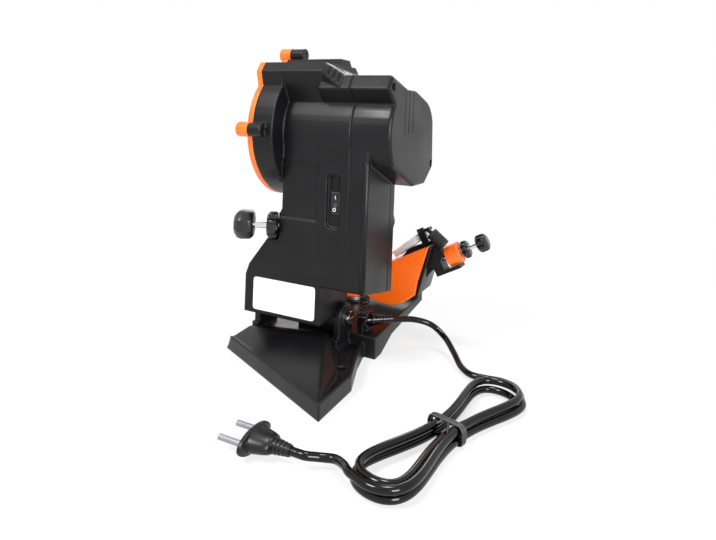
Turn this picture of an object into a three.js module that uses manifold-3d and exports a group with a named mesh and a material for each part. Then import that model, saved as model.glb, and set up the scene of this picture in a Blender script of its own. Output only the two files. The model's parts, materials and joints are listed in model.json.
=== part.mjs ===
// An electric chainsaw sharpener, in millimetres, with +Z up.
// X runs along the wheel's axis from the wheel to the vented end, and +Y points to the user and the vise.
// Places are worked out from the parting plane of the two housing shells, and the whole is then moved so
// that the origin lies on the bench under the middle of the hinge.
import * as THREE from "three";
import { mergeVertices } from "three/addons/utils/BufferGeometryUtils.js";
import { ConvexGeometry } from "three/addons/geometries/ConvexGeometry.js";
import Module from "manifold-3d";

const wasm = await Module();
wasm.setup();

// Driving dimensions
const fit = 0.3; // clearance between pieces that touch
const slip = 0.4; // clearance round a turning pin
const overrun = 2; // how far a cutter passes the face that it opens
const weld = 1e-4; // distance at which vertices are one
const originX = 60; // from the middle of the hinge to the parting plane

const axis = { y: 4, z: 206 }; // wheel, spindle and motor
const hinge = { y: 0, z: 36, pin: 4, lug: 13, ear: 13, earWidth: 6, left: -103.5, right: -24 };

const wheel = { radius: 52, width: 3.2, middle: -79.5, bore: 11.1 };
const flange = { radius: 17, width: 4, lip: 2 };
const nut = { radius: 9, width: 6 };
const spindle = { radius: 5, left: -88.8, right: 29 };

const cover = { outer: -93, inner: -88, plate: 2.4, wall: 2.4, ear: 6.6, earDepth: 6.5 };
const drum = { radius: 62.5, wall: 2.6, open: -87.7, back: -67, backWall: 3.2 };
const exposure = { from: -80, to: 4, reachShare: 1.3, wallRadius: 48 }; // degrees of the rim left open
const boss = { radius: 6.2, right: -74, rearReach: 64.5, topReach: 72.5, screw: 1.9 };

const shell = { wall: 2.6, front: 22, rear: -39 };
const barrel = { radius: 45, end: 37 };
const hood = { left: -91, right: -26, foot: -7.6 };
const column = { left: -67, right: 17, low: 72, shoulder: 194, blockBottom: 38, blockFront: 13 };
const endFace = { round: 2.4, slit: 1.8, slitTop: 247, slitLow: 208, slitFirst: -10.7, slitPitch: 9.8 };
const well = { radius: 3.7, bore: 1.6, depth: 24, pillar: 24, places: [[-37.5, 246], [64, 178]] };
const swell = { left: -87, right: -30, low: 262, high: 273.5, half: 18 }; // low rise under the top boss
const bearing = { outer: 13, inner: 5.2, width: 8, left: -66, right: 21 };

const stator = { outer: 37, inner: 24.4, left: -47, right: -15, slot: 9 };
const rotor = { radius: 23.6, slots: 12, slotDepth: 4, slotWidth: 2.6 };
const commutator = { radius: 12, left: -8, right: 5, bars: 16, slit: 0.7 };
const brush = { width: 8, thick: 6, length: 16 };
const fan = { radius: 34, hub: 9, left: -57, right: -51, blades: 9, blade: 2 };

const recess = { left: -21.5, right: -8, low: 124, high: 171, floor: -35.4, corner: 4 };
const rocker = { left: -17.6, right: -9, low: 136, high: 155, bezel: 1.4, body: 17, travel: 9 };
const label = { left: -94, right: -29.2, low: 41.5, high: 70.9, thick: 0.5, corner: 2.6 };

const depth = { x: -67.5, y: -33.5, z: 120, turn: 28, rod: 3, knob: 14, knobLength: 18, reach: 40 };
depth.seat = 12.8;
depth.seatDepth = 3.9;

const pad = { height: 13, wall: 3.2, deck: 10, hollow: 6.4, draft: 9 };
const mountingHole = { radius: 4, rightX: 1.2, rightY: -43.6, leftX: -104, leftY: 28 };
const arm = { left: -72, right: 10, low: 11, top: 26, front: 132, frontLow: 20, frontTop: 37, wall: 4 };
const swivel = { x: -54, y: 89, bolt: 4, plate: 18, plateTop: 29.3, foot: 17, footTop: 42, boltTop: 38, seat: 17 };
const swivelKnob = { radius: 12, low: 4, high: 18, hub: 7, lobes: 5 };

const vise = { x: -2, y: 90, z: 48, tilt: 28, half: 20, round: 1.6, skirt: 10, undersideZ: 39 };
const viseTop = 23.4;
const jaw = { left: -106, right: -22, rear: 80, front: 106, low: 40, high: 108, slotLow: 85, round: 1.6 };
const rail = { left: -106, right: -34, low: 86, high: 118, thick: 3, y: 85.2, opening: 1.6, travel: 1.3 };
const clampLever = { x: -40, z: 98, hub: 7, screw: 3, reach: 42, grip: 5 };
const rod = { v: 0, w: 6.2, radius: 2.5, from: 30, to: 99 };
const star = { radius: 8.7, from: 96, length: 11, lobes: 6 };
const lockRing = { radius: 8.8, length: 6.5, from: 80, lobes: 5 };
const collar = { radius: 10.4, bore: 7.5, boreDepth: 4, from: 63, to: 77 };
const bracket = { half: 8, foot: 8, saddle: 3.4, footFrom: 46, footTo: 56, footTop: 4, saddleTo: 73 };
const leaf = { thick: 1.4, rear: -4, front: 12.4, pin: 1.9, eye: 3.6, tipU: 5, tipW: 30 };
const leafPin = { u: 49, w: 38.9, head: 3.2, headLength: 1.2, reach: 1.4 };
const carrier = { toe: 19, rise: 29, heel: 57, high: 28, heelHigh: 26.8, rear: -7.6, front: 11, ear: 3.2 };
const stopArm = { from: 50, to: 61, rear: -14, low: 37.4, high: 40.4 };
const thumbNut = { u: 57.5, v: -10, w: 40, turn: 155.4, radius: 6.2, length: 18.3, stud: 2.2, from: 6.4 };

const spring = { x: -4, y: 8, low: 34, high: 58, radius: 4, wire: 0.75, turns: 7, foot: 20.6, top: 71.6 };

const cord = { radius: 2.8, pitch: 6.1, rise: 6.3, floor: 1.45 };
const hank = { x: 105, y: -84, turn: 74, half: 88, waist: 10.8, swell: 38, steps: 32, from: 340, sweep: 890 };
const tie = { half: 3.5, reach: 15, thick: 1, low: 0.1, high: 14.4 };
const clampBox = { x: [-13, -2.5], y: [15.5, 27], z: [18, 37] };
const grommet = { x: -2.2, y: 20.4, z: 30, turn: 40, radius: 5, length: 7, collar: 6.4 };
const plug = { x: -3, y: -160, z: 8.5, pinRadius: 2, pinLength: 19, pinSpacing: 19 };
const plugBody = { half: 17.5, low: 0.4, rim: 3, waist: 12, taper: 17, relief: 4.6, end: 30, corner: 7, step: 0.8 };

const finish = {
  moulding: { color: 0x26272a, roughness: 0.55, metalness: 0 },
  orange: { color: 0xf2620f, roughness: 0.45, metalness: 0 },
  chrome: { color: 0xd4d6d8, roughness: 0.15, metalness: 1 },
  steel: { color: 0x8d9094, roughness: 0.4, metalness: 1 },
  dark: { color: 0x1b1b1d, roughness: 0.35, metalness: 0.6 },
  copper: { color: 0xb8703a, roughness: 0.35, metalness: 1 },
  abrasive: { color: 0x9a4a3c, roughness: 0.95, metalness: 0 },
  knob: { color: 0x17171a, roughness: 0.35, metalness: 0 },
  paper: { color: 0xeeeeec, roughness: 0.5, metalness: 0 },
  cable: { color: 0x0f0f11, roughness: 0.25, metalness: 0 },
};

// Solids
const rad = THREE.MathUtils.degToRad;
const mid = (pair) => (pair[0] + pair[1]) / 2;
const along = (pair, share) => pair[0] + (pair[1] - pair[0]) * share;

function solid(geometry) {
  const plain = geometry.clone();
  plain.deleteAttribute("normal");
  plain.deleteAttribute("uv");
  const merged = mergeVertices(plain, weld);
  return new wasm.Manifold(
    new wasm.Mesh({
      numProp: 3,
      vertProperties: merged.attributes.position.array,
      triVerts: new Uint32Array(merged.index.array),
    }),
  );
}

function surface(body) {
  const { vertProperties, triVerts } = body.getMesh();
  const geometry = new THREE.BufferGeometry();
  geometry.setAttribute("position", new THREE.BufferAttribute(vertProperties, 3));
  geometry.setIndex(new THREE.BufferAttribute(triVerts, 1));
  const flat = geometry.toNonIndexed();
  flat.computeVertexNormals();
  return flat;
}

const joined = (...bodies) => bodies.reduce((sum, body) => sum.add(body));
const cut = (body, ...cutters) => cutters.reduce((left, cutter) => left.subtract(cutter), body);

function piece(name, body, look) {
  const geometry = body.isBufferGeometry ? body : surface(body);
  const mesh = new THREE.Mesh(geometry, new THREE.MeshStandardMaterial(look));
  mesh.name = name;
  return mesh;
}

function block(x, y, z) {
  const geometry = new THREE.BoxGeometry(x[1] - x[0], y[1] - y[0], z[1] - z[0]);
  return solid(geometry.translate(mid(x), mid(y), mid(z)));
}

// Turns local Z, the way that prisms and turned pieces are drawn, to the named axis.
const turnTo = {
  x: new THREE.Matrix4().makeBasis(
    new THREE.Vector3(0, 1, 0),
    new THREE.Vector3(0, 0, 1),
    new THREE.Vector3(1, 0, 0),
  ),
  y: new THREE.Matrix4().makeBasis(
    new THREE.Vector3(0, 0, 1),
    new THREE.Vector3(1, 0, 0),
    new THREE.Vector3(0, 1, 0),
  ),
  z: new THREE.Matrix4(),
};

// A prism of an outline between two places along an axis. The outline's two coordinates are the next two
// axes in the order X, Y, Z, X.
function prism(points, way, span, round = 0, place = true) {
  const outline = points.isShape ? points : new THREE.Shape(points.map(([a, b]) => new THREE.Vector2(a, b)));
  const geometry = new THREE.ExtrudeGeometry(outline, {
    depth: span[1] - span[0] - 2 * round,
    steps: 1,
    curveSegments: 10,
    bevelEnabled: round > 0,
    bevelThickness: round,
    bevelSize: round,
    bevelOffset: -round,
    bevelSegments: 2,
  });
  geometry.translate(0, 0, span[0] + round);
  return solid(place ? geometry.applyMatrix4(turnTo[way]) : geometry);
}

// A round bar along an axis, its centre given in the next two axes.
function bar(radius, way, span, centre = [0, 0], sides = 32) {
  const geometry = new THREE.CylinderGeometry(radius, radius, span[1] - span[0], sides);
  geometry.rotateX(Math.PI / 2).translate(centre[0], centre[1], mid(span));
  return solid(geometry.applyMatrix4(turnTo[way]));
}

const tubeBar = (outer, inner, way, span, centre, sides) =>
  cut(
    bar(outer, way, span, centre, sides),
    bar(inner, way, [span[0] - overrun, span[1] + overrun], centre, sides),
  );

// A turned piece: [radius, place] pairs from its low end to its high end, closed on its axis.
function turned(profile, way, centre = [0, 0], sides = 28) {
  const points = profile.map(([r, h]) => new THREE.Vector2(r, h));
  const geometry = new THREE.LatheGeometry(points, sides);
  geometry.rotateX(Math.PI / 2).translate(centre[0], centre[1], 0);
  return solid(geometry.applyMatrix4(turnTo[way]));
}

const hull = (points) => solid(new ConvexGeometry(points.map((p) => new THREE.Vector3(...p))));

// Moves an outline inwards by a wall.
function inset(points, thickness) {
  const wall = thickness * Math.sign(THREE.ShapeUtils.area(points.map(([x, y]) => ({ x, y }))));
  return points.map((point, i) => {
    const before = points[(i + points.length - 1) % points.length];
    const after = points[(i + 1) % points.length];
    const a = new THREE.Vector2(point[0] - before[0], point[1] - before[1]).normalize();
    const b = new THREE.Vector2(after[0] - point[0], after[1] - point[1]).normalize();
    const reach = wall / (1 + a.dot(b));
    return [point[0] - (a.y + b.y) * reach, point[1] + (a.x + b.x) * reach];
  });
}

function arc(centre, radius, from, to, steps) {
  return Array.from({ length: steps + 1 }, (_, i) => {
    const angle = rad(from + ((to - from) * i) / steps);
    return [centre[0] + radius * Math.cos(angle), centre[1] + radius * Math.sin(angle)];
  });
}

function roundedRect(a, b, radius) {
  return [
    ...arc([a[1] - radius, b[1] - radius], radius, 0, 90, 4),
    ...arc([a[0] + radius, b[1] - radius], radius, 90, 180, 4),
    ...arc([a[0] + radius, b[0] + radius], radius, 180, 270, 4),
    ...arc([a[1] - radius, b[0] + radius], radius, 270, 360, 4),
  ];
}

const axisPoint = [axis.y, axis.z];
const polar = (radius, angle) => [
  axis.y + radius * Math.cos(rad(angle)),
  axis.z + radius * Math.sin(rad(angle)),
];

// Outlines of the head, seen along X as [y, z]
const ridgeLow = [-46.5, 244];
const undercut = [-33, 232];
const ridge = [[-39, 255.5], ridgeLow, undercut, [0, 226], [19, 240], [19, 246], [-1.5, 246]];
const hoodOutline = [[-42, 267], [-48, 258.5], undercut, [0, 226], [24, 236], [24, 262], [18, 267]];
const motorOutline = [
  [-39, 255.5],
  ridgeLow,
  undercut,
  ...arc(axisPoint, barrel.radius, 146, 216, 9),
  [20, 159],
  [48, 159],
  [69, 173],
  [70.5, 178],
  ...arc([40, 210], 29, 16, 76, 5),
  [19, 246],
  [-1.5, 246],
];
const columnOutline = [
  [200, 0],
  [200, column.left],
  [136, column.left],
  [106, -82],
  [82, -100],
  [column.low, hinge.left],
  [column.low, 0],
];

// Outlines of the vise's slope, seen along Y as [w, u]
const slopeOutline = [
  [-1.8, -29.3],
  [8, -38],
  [viseTop, -38],
  [viseTop, 56],
  [10, 43],
  [-3.8, 29.6],
  [-15.2, 21.5],
  [-17.3, 10.8],
  [-18.3, 2.7],
  [-16.8, -9.6],
  [-9.9, -20.6],
];
const bracketOutline = [
  [-6.6, 30.8],
  [-3.9, 30.3],
  [9.9, 43.6],
  [23.2, 56.9],
  [23.2, 58.2],
  [11.5, 62],
  [1.9, 54.1],
  [-0.8, 43],
];

// The open sector of the guard's rim
function exposureCut(span, keptRadius = 0) {
  const reach = drum.radius * exposure.reachShare;
  const points = [axisPoint, ...arc(axisPoint, reach, exposure.from, exposure.to, 6)];
  const sector = prism(points, "x", span);
  return keptRadius ? cut(sector, bar(keptRadius, "x", [span[0] - overrun, span[1] + overrun], axisPoint, 48)) : sector;
}

// The low rise on the hood that carries the top boss
function topSwell(span) {
  const { low, high, half } = swell;
  const centre = bossPlace("top")[0];
  return prism(
    [
      [centre - half, low],
      [centre + half, low],
      [centre + half * 0.5, high],
      [centre - half * 0.5, high],
    ],
    "x",
    span,
  );
}

const bossAngles = { rear: 180, top: 90 };
const bossReach = { rear: boss.rearReach, top: boss.topReach };
const bossPlace = (side) => polar(bossReach[side], bossAngles[side]);

function guardRim(radius, span) {
  const hoodCorner = [[-42, 267], [-48, 258.5], [-44, 244], [0, 236], [18, 240], [18, 267]];
  const grown = inset(hoodCorner, drum.radius - radius);
  return joined(bar(radius, "x", span, axisPoint, 56), prism(grown, "x", span));
}

function guardCover() {
  const span = [cover.outer, cover.inner];
  let body = joined(guardRim(drum.radius, span), topSwell(span));
  for (const side of ["rear", "top"]) {
    const place = bossPlace(side);
    body = joined(body, bar(cover.ear, "x", [cover.outer - cover.earDepth, cover.inner], place, 20));
  }
  body = cut(
    body,
    guardRim(drum.radius - cover.wall, [cover.outer + cover.plate, cover.inner + overrun]),
    exposureCut([cover.outer - overrun, cover.inner + overrun]),
    bar(spindle.radius + overrun, "x", [cover.outer - overrun, cover.inner + overrun], axisPoint, 24),
  );
  for (const side of ["rear", "top"]) {
    const place = bossPlace(side);
    body = cut(
      body,
      bar(boss.screw + fit, "x", [cover.outer - cover.earDepth - overrun, cover.inner + overrun], place, 16),
      bar(boss.screw * 2 + fit, "x", [cover.outer - cover.earDepth - overrun, cover.outer - overrun], place, 16),
    );
  }
  return body;
}

function guardScrew(side) {
  const place = bossPlace(side);
  const head = [cover.outer - cover.earDepth + fit, cover.outer - overrun - fit];
  const body = joined(
    bar(boss.screw * 2, "x", head, place, 16),
    bar(boss.screw, "x", [head[1] - fit, boss.right - overrun * 2], place, 12),
  );
  const slot = [place[1] - boss.screw / 4, place[1] + boss.screw / 4];
  return cut(body, block([head[0] - overrun, head[0] + 1], [place[0] - 9, place[0] + 9], slot));
}

function leftShell() {
  const seam = 0;
  const outer = [
    guardRim(drum.radius, [drum.open, drum.back]),
    prism(hoodOutline, "x", [hood.left + 3.6, hood.right]),
    bar(barrel.radius, "x", [drum.back - fit, seam], axisPoint, 56),
    prism(ridge, "x", [hood.foot, seam]),
    prism(motorOutline, "x", [-30, seam]),
    prism(columnOutline, "y", [shell.rear, shell.front]),
    block([hinge.left, hinge.right], [shell.rear, column.blockFront], [column.blockBottom, column.low + fit]),
    bar(hinge.lug, "x", [hinge.left, hinge.right], [hinge.y, hinge.z], 32),
    hull([
      ...[hoodOutline[0], hoodOutline[1], undercut, [0, 230], [20, 262]].map(([y, z]) => [hood.right - fit, y, z]),
      ...[ridge[0], ridge[1], undercut, [0, 230], [19, 246]].map(([y, z]) => [hood.foot + fit, y, z]),
    ]),
    topSwell([drum.open, swell.right]),
    bar(boss.radius, "x", [drum.open, boss.right], bossPlace("rear"), 24),
    bar(boss.radius, "x", [drum.open, boss.right], bossPlace("top"), 24),
  ];
  const open = seam + overrun;
  const wall = shell.wall;
  const motorBack = drum.back + fit;
  const hollow = [
    guardRim(drum.radius - drum.wall, [drum.open - overrun, drum.back - drum.backWall]),
    bar(barrel.radius - wall, "x", [motorBack, open], axisPoint, 48),
    prism(inset(hoodOutline, wall), "x", [motorBack, hood.right - wall]),
    prism(inset(motorOutline, wall), "x", [-30 + wall, open]),
    prism(inset(columnOutline, wall), "y", [shell.rear + wall, shell.front - wall]),
    block([-wall, open], [shell.rear + wall, shell.front - wall], [column.low + wall, 196]),
    block(
      [hinge.left + wall, hinge.right - wall],
      [shell.rear + wall, column.blockFront - wall],
      [hinge.z + hinge.lug + wall, column.low + wall * 2],
    ),
  ];
  let body = cut(joined(...outer), joined(...hollow));
  const seat = [drum.back - drum.backWall, bearing.left + bearing.width];
  body = joined(
    body,
    cut(
      bar(bearing.outer + wall, "x", seat, axisPoint, 32),
      bar(bearing.outer + fit, "x", [bearing.left - fit, seat[1] + overrun], axisPoint, 32),
    ),
    block([recess.left - wall, recess.right + wall], [shell.rear + wall, recess.floor + wall], [recess.low - wall, recess.high + wall]),
    depthSeat().intersect(prism(columnOutline, "y", [shell.rear, shell.front])),
  );
  for (const place of well.places) {
    body = joined(body, bar(well.radius + wall * 0.75, "x", [seam - well.pillar, seam], place, 16));
    body = cut(body, bar(well.bore, "x", [seam - well.pillar + wall, seam + overrun], place, 12));
  }
  const recessPoints = roundedRect([recess.low, recess.high], [recess.left, recess.right], recess.corner);
  body = cut(
    body,
    exposureCut([drum.open - overrun, drum.back + fit], exposure.wallRadius),
    bar(bearing.inner + overrun, "x", [drum.back - drum.backWall - overrun, bearing.left + fit], axisPoint, 24),
    prism(recessPoints, "y", [shell.rear - overrun, recess.floor]),
    block(
      [rocker.left + rocker.bezel, rocker.right - rocker.bezel],
      [recess.floor - overrun, recess.floor + wall * 3],
      [rocker.low + rocker.bezel, rocker.high - rocker.bezel],
    ),
    block([column.left - overrun, -30], [shell.rear - overrun, shell.rear + wall / 2], [128, 180]),
    prism(
      roundedRect([label.low - fit, label.high + fit], [label.left - fit, label.right + fit], label.corner),
      "y",
      [shell.rear - overrun, shell.rear + label.thick],
    ),
    bar(hinge.pin + slip, "x", [hinge.left - overrun, hinge.right + overrun], [hinge.y, hinge.z], 24),
    bar(boss.screw + fit, "x", [drum.open - overrun, boss.right - fit], bossPlace("rear"), 12),
    bar(boss.screw + fit, "x", [drum.open - overrun, boss.right - fit], bossPlace("top"), 12),
  );
  for (let i = 0; i < 3; i++) {
    const x = along([hood.right, hood.foot], 0.3 + i * 0.25);
    const z = along([267, 255.5], 0.3 + i * 0.25);
    body = cut(body, block([x, x + 0.8], [-60, -20], [z - 9, z + 6]));
  }
  return cut(body, depthHole());
}

// The flat seat of the depth screw's lock ring, drawn along X and then turned
const depthSeat = () => placedDepth(bar(depth.seat + shell.wall, "x", [-depth.seatDepth, 0], [0, 0], 24), true);

function depthHole() {
  const hole = bar(depth.rod + slip, "x", [-depth.reach, depth.reach], [0, 0], 20);
  const pocket = bar(depth.seat, "x", [-depth.reach, -depth.seatDepth], [0, 0], 24);
  return placedDepth(joined(hole, pocket), true);
}

// Puts a piece that is drawn along X at the depth screw's place and turn.
function placedDepth(body, keep) {
  const geometry = surface(body);
  geometry.rotateZ(rad(depth.turn)).translate(depth.x, depth.y, depth.z);
  return keep ? solid(geometry) : geometry;
}

function rightShell() {
  const seam = fit;
  const wall = shell.wall;
  const columnSpan = [seam, column.right];
  const lowRear = column.low;
  const lowFront = column.low - 12;
  const top = column.shoulder;
  const side = [[shell.rear, top], [shell.rear, lowRear], [shell.front, lowFront], [shell.front, top]];
  const endCut = cut(
    prism(motorOutline, "x", [seam - overrun * 2, barrel.end], endFace.round),
    block([seam - overrun * 3, seam], [-90, 90], [140, 280]),
  );
  let body = joined(endCut, prism(side, "x", columnSpan));
  const hollow = joined(
    prism(inset(motorOutline, wall), "x", [seam - overrun, barrel.end - wall]),
    prism(inset(side, wall), "x", [seam - overrun, column.right - wall]),
    block([seam - overrun, column.right - wall], [shell.rear + wall, shell.front - wall], [170, 190]),
  );
  body = cut(body, hollow);
  const seat = [bearing.right, barrel.end - wall + fit];
  body = joined(
    body,
    cut(
      bar(bearing.outer + wall, "x", seat, axisPoint, 32),
      bar(bearing.outer + fit, "x", [seat[0] - overrun, bearing.right + bearing.width + fit], axisPoint, 32),
    ),
    ...well.places.map((place) =>
      bar(well.radius + wall * 0.75, "x", [seam, barrel.end - wall + fit], place, 20),
    ),
  );
  for (let i = 0; i < 3; i++) {
    const y = endFace.slitFirst + i * endFace.slitPitch;
    const slit = [y - endFace.slit / 2, y + endFace.slit / 2];
    body = cut(body, block([barrel.end - wall - overrun, barrel.end + overrun], slit, [endFace.slitLow, endFace.slitTop]));
  }
  for (const place of well.places) {
    body = cut(
      body,
      bar(well.radius, "x", [barrel.end - well.depth, barrel.end + overrun], place, 20),
      bar(well.bore + fit, "x", [seam - overrun, barrel.end], place, 12),
    );
  }
  const groove = [column.right - 2.4, column.right - 1.2];
  body = cut(
    body,
    block(groove, [shell.rear - overrun, shell.rear + 0.8], [lowRear - overrun, 168]),
    block([column.right - 0.6, column.right + overrun], [11, 12.2], [lowFront, 160]),
  );
  const tab = [[shell.front - fit, 132], [shell.front - fit, 118], [shell.front + 4, 124]];
  return joined(body, prism(tab, "x", [column.right - 4, column.right]));
}

// The motor, seen only when the shells come apart
function motor() {
  const group = new THREE.Group();
  const core = [stator.left, stator.right];
  let stack = tubeBar(stator.outer, stator.inner, "x", core, axisPoint, 40);
  for (const angle of [0, 180]) {
    const [y, z] = polar(stator.outer, angle);
    const half = stator.slot;
    stack = cut(stack, block([core[0] - overrun, core[1] + overrun], [y - 3, y + 3], [z - half, z + half]));
  }
  const shaftHole = bar(spindle.radius + fit / 2, "x", [core[0] - 20, core[1] + 30], axisPoint, 24);
  let armature = bar(rotor.radius, "x", core, axisPoint, 36);
  for (let i = 0; i < rotor.slots; i++) {
    const slot = block(
      [core[0] - overrun, core[1] + overrun],
      [axis.y + rotor.radius - rotor.slotDepth, axis.y + rotor.radius + overrun],
      [axis.z - rotor.slotWidth / 2, axis.z + rotor.slotWidth / 2],
    );
    armature = cut(armature, spun(slot, (360 * i) / rotor.slots));
  }
  let bars = bar(commutator.radius, "x", [commutator.left, commutator.right], axisPoint, 32);
  for (let i = 0; i < commutator.bars; i++) {
    const slit = block(
      [commutator.left - overrun, commutator.right + overrun],
      [axis.y + commutator.radius - 1.2, axis.y + commutator.radius + overrun],
      [axis.z - commutator.slit / 2, axis.z + commutator.slit / 2],
    );
    bars = cut(bars, spun(slit, (360 * i) / commutator.bars));
  }
  let blower = bar(fan.hub, "x", [fan.left, fan.right], axisPoint, 24);
  blower = joined(blower, bar(fan.radius, "x", [fan.left, fan.left + fan.blade], axisPoint, 36));
  for (let i = 0; i < fan.blades; i++) {
    const blade = block(
      [fan.left, fan.right],
      [axis.y + fan.hub - 1, axis.y + fan.radius - 1],
      [axis.z - fan.blade / 2, axis.z + fan.blade / 2],
    );
    blower = joined(blower, spun(blade, (360 * i) / fan.blades));
  }
  group.add(
    piece("motor_stator", stack, finish.steel),
    piece("motor_rotor", cut(armature, shaftHole), finish.steel),
    piece("commutator", cut(bars, shaftHole), finish.copper),
    piece("cooling_fan", cut(blower, shaftHole), finish.dark),
  );
  for (const [name, left] of [["wheel_side_bearing", bearing.left], ["end_bearing", bearing.right]]) {
    const ring = tubeBar(bearing.outer, bearing.inner, "x", [left, left + bearing.width - fit], axisPoint, 32);
    group.add(piece(name, ring, finish.steel));
  }
  for (const [name, angle] of [["upper_brush_holder", 90], ["lower_brush_holder", 270]]) {
    const start = commutator.radius + fit;
    const holder = block(
      [commutator.left + overrun, commutator.left + overrun + brush.width],
      [axis.y + start, axis.y + start + brush.length],
      [axis.z - brush.thick / 2, axis.z + brush.thick / 2],
    );
    group.add(piece(name, spun(holder, angle), finish.dark));
  }
  return group;
}

// Turns a piece about the wheel's axis.
function spun(body, angle) {
  const geometry = surface(body);
  geometry.translate(0, -axis.y, -axis.z).rotateX(rad(angle)).translate(0, axis.y, axis.z);
  return solid(geometry);
}

// The grinding wheel between its flanges, on the spindle
function wheelSet() {
  const group = new THREE.Group();
  const half = wheel.width / 2;
  const face = [wheel.middle - half, wheel.middle + half];
  const disc = turned(
    [
      [0, face[0]],
      [wheel.radius - 1.2, face[0]],
      [wheel.radius, face[0] + 1],
      [wheel.radius, face[1] - 1],
      [wheel.radius - 1.2, face[1]],
      [0, face[1]],
    ],
    "x",
    axisPoint,
    64,
  );
  const bore = bar(wheel.bore, "x", [face[0] - overrun, face[1] + overrun], axisPoint, 32);
  const inner = [face[1] + fit, face[1] + fit + flange.width];
  const outer = [face[0] - fit - flange.width, face[0] - fit];
  const shaftHole = bar(spindle.radius + fit / 2, "x", [-100, -60], axisPoint, 24);
  const register = bar(wheel.bore - fit, "x", [face[0] + half, inner[0] + fit], axisPoint, 32);
  const nutShape = arc(axisPoint, nut.radius, 0, 300, 5);
  group.add(
    piece("grinding_wheel", cut(disc, bore), finish.abrasive),
    piece("inner_flange", cut(joined(bar(flange.radius, "x", inner, axisPoint, 36), register), shaftHole), finish.steel),
    piece("outer_flange", cut(bar(flange.radius, "x", outer, axisPoint, 36), shaftHole), finish.steel),
    piece(
      "spindle_nut",
      cut(prism(nutShape, "x", [cover.outer + cover.plate + fit, outer[0] - fit]), shaftHole),
      finish.chrome,
    ),
    piece("spindle", bar(spindle.radius, "x", [spindle.left, spindle.right], axisPoint, 24), finish.steel),
  );
  return group;
}

// The rocker switch in its recess
function switchSet() {
  const group = new THREE.Group();
  const x = [rocker.left, rocker.right];
  const z = [rocker.low, rocker.high];
  const rim = rocker.bezel;
  const bodyX = [x[0] + rim + fit, x[1] - rim - fit];
  const bodyZ = [z[0] + rim + fit, z[1] - rim - fit];
  const front = recess.floor - fit;
  let bezel = joined(
    block(x, [front - rim, front], z),
    block(bodyX, [front - fit, front + rocker.body], bodyZ),
  );
  const inner = [bodyX[0] + rim / 2, bodyX[1] - rim / 2];
  const pocketZ = [bodyZ[0] + rim / 2, bodyZ[1] - rim / 2];
  bezel = cut(bezel, block(inner, [front - rim - overrun, front + 6], pocketZ));
  const half = (pocketZ[1] - pocketZ[0]) / 2 - fit * 2;
  const centre = mid(pocketZ);
  const crown = front - rim;
  const button = prism(
    [
      [centre - half, crown + 2.2],
      [centre - half, crown - 2.2],
      [centre, crown + 0.4],
      [centre + half, crown - 0.6],
      [centre + half, crown + 2.2],
      [centre, crown + 4.4],
    ].map(([a, b]) => [b, a]).reverse(),
    "x",
    [inner[0] + fit, inner[1] - fit],
  );
  const { left, right, low, high, thick, corner } = label;
  group.add(
    piece("switch_body", bezel, finish.knob),
    piece("switch_rocker", button, finish.knob),
    piece(
      "label_plate",
      prism(roundedRect([low, high], [left, right], corner), "y", [shell.rear + thick - fit - thick, shell.rear + thick - fit]),
      finish.paper,
    ),
  );
  return group;
}

// The depth screw with its faceted knob and its lock ring
function depthSet() {
  const group = new THREE.Group();
  const grip = [-44, -44 + depth.knobLength];
  const r = depth.knob;
  const sides = 8;
  const knob = turned(
    [
      [0, grip[0]],
      [r * 0.62, grip[0]],
      [r, along(grip, 0.34)],
      [r, along(grip, 0.68)],
      [r * 0.55, grip[1]],
      [0, grip[1]],
    ],
    "x",
    [0, 0],
    sides,
  );
  const screw = joined(knob, bar(depth.rod, "x", [grip[1] - 1, 22], [0, 0], 20));
  const ring = [-14.5, -4.2];
  let lock = turned(
    [
      [0, ring[0]],
      [r * 0.72, ring[0]],
      [r * 0.86, along(ring, 0.2)],
      [r * 0.86, along(ring, 0.8)],
      [r * 0.72, ring[1]],
      [0, ring[1]],
    ],
    "x",
    [0, 0],
    10,
  );
  lock = cut(lock, bar(depth.rod + slip, "x", [ring[0] - overrun, ring[1] + overrun], [0, 0], 20));
  group.add(
    piece("depth_screw", placedDepth(screw), finish.knob),
    piece("depth_lock_ring", placedDepth(lock), finish.knob),
  );
  return group;
}

// The base: a skewed rear lip, a raised hump, a recessed flange, two cheeks and the raised front arm
const padOutline = [
  [17.5, -109],
  [17.5, -56],
  [5, -20],
  [-1, 4],
  [-1, 29],
  [-14, 46],
  [-92, 46],
  [-119, 20],
  [-122, -40],
];

// The underside of the arm's roof, which slopes with its top
const armRoof = (y) => arm.top - 6 - arm.wall + (6 * (y - 6)) / (arm.front - 14 - 6);

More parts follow.
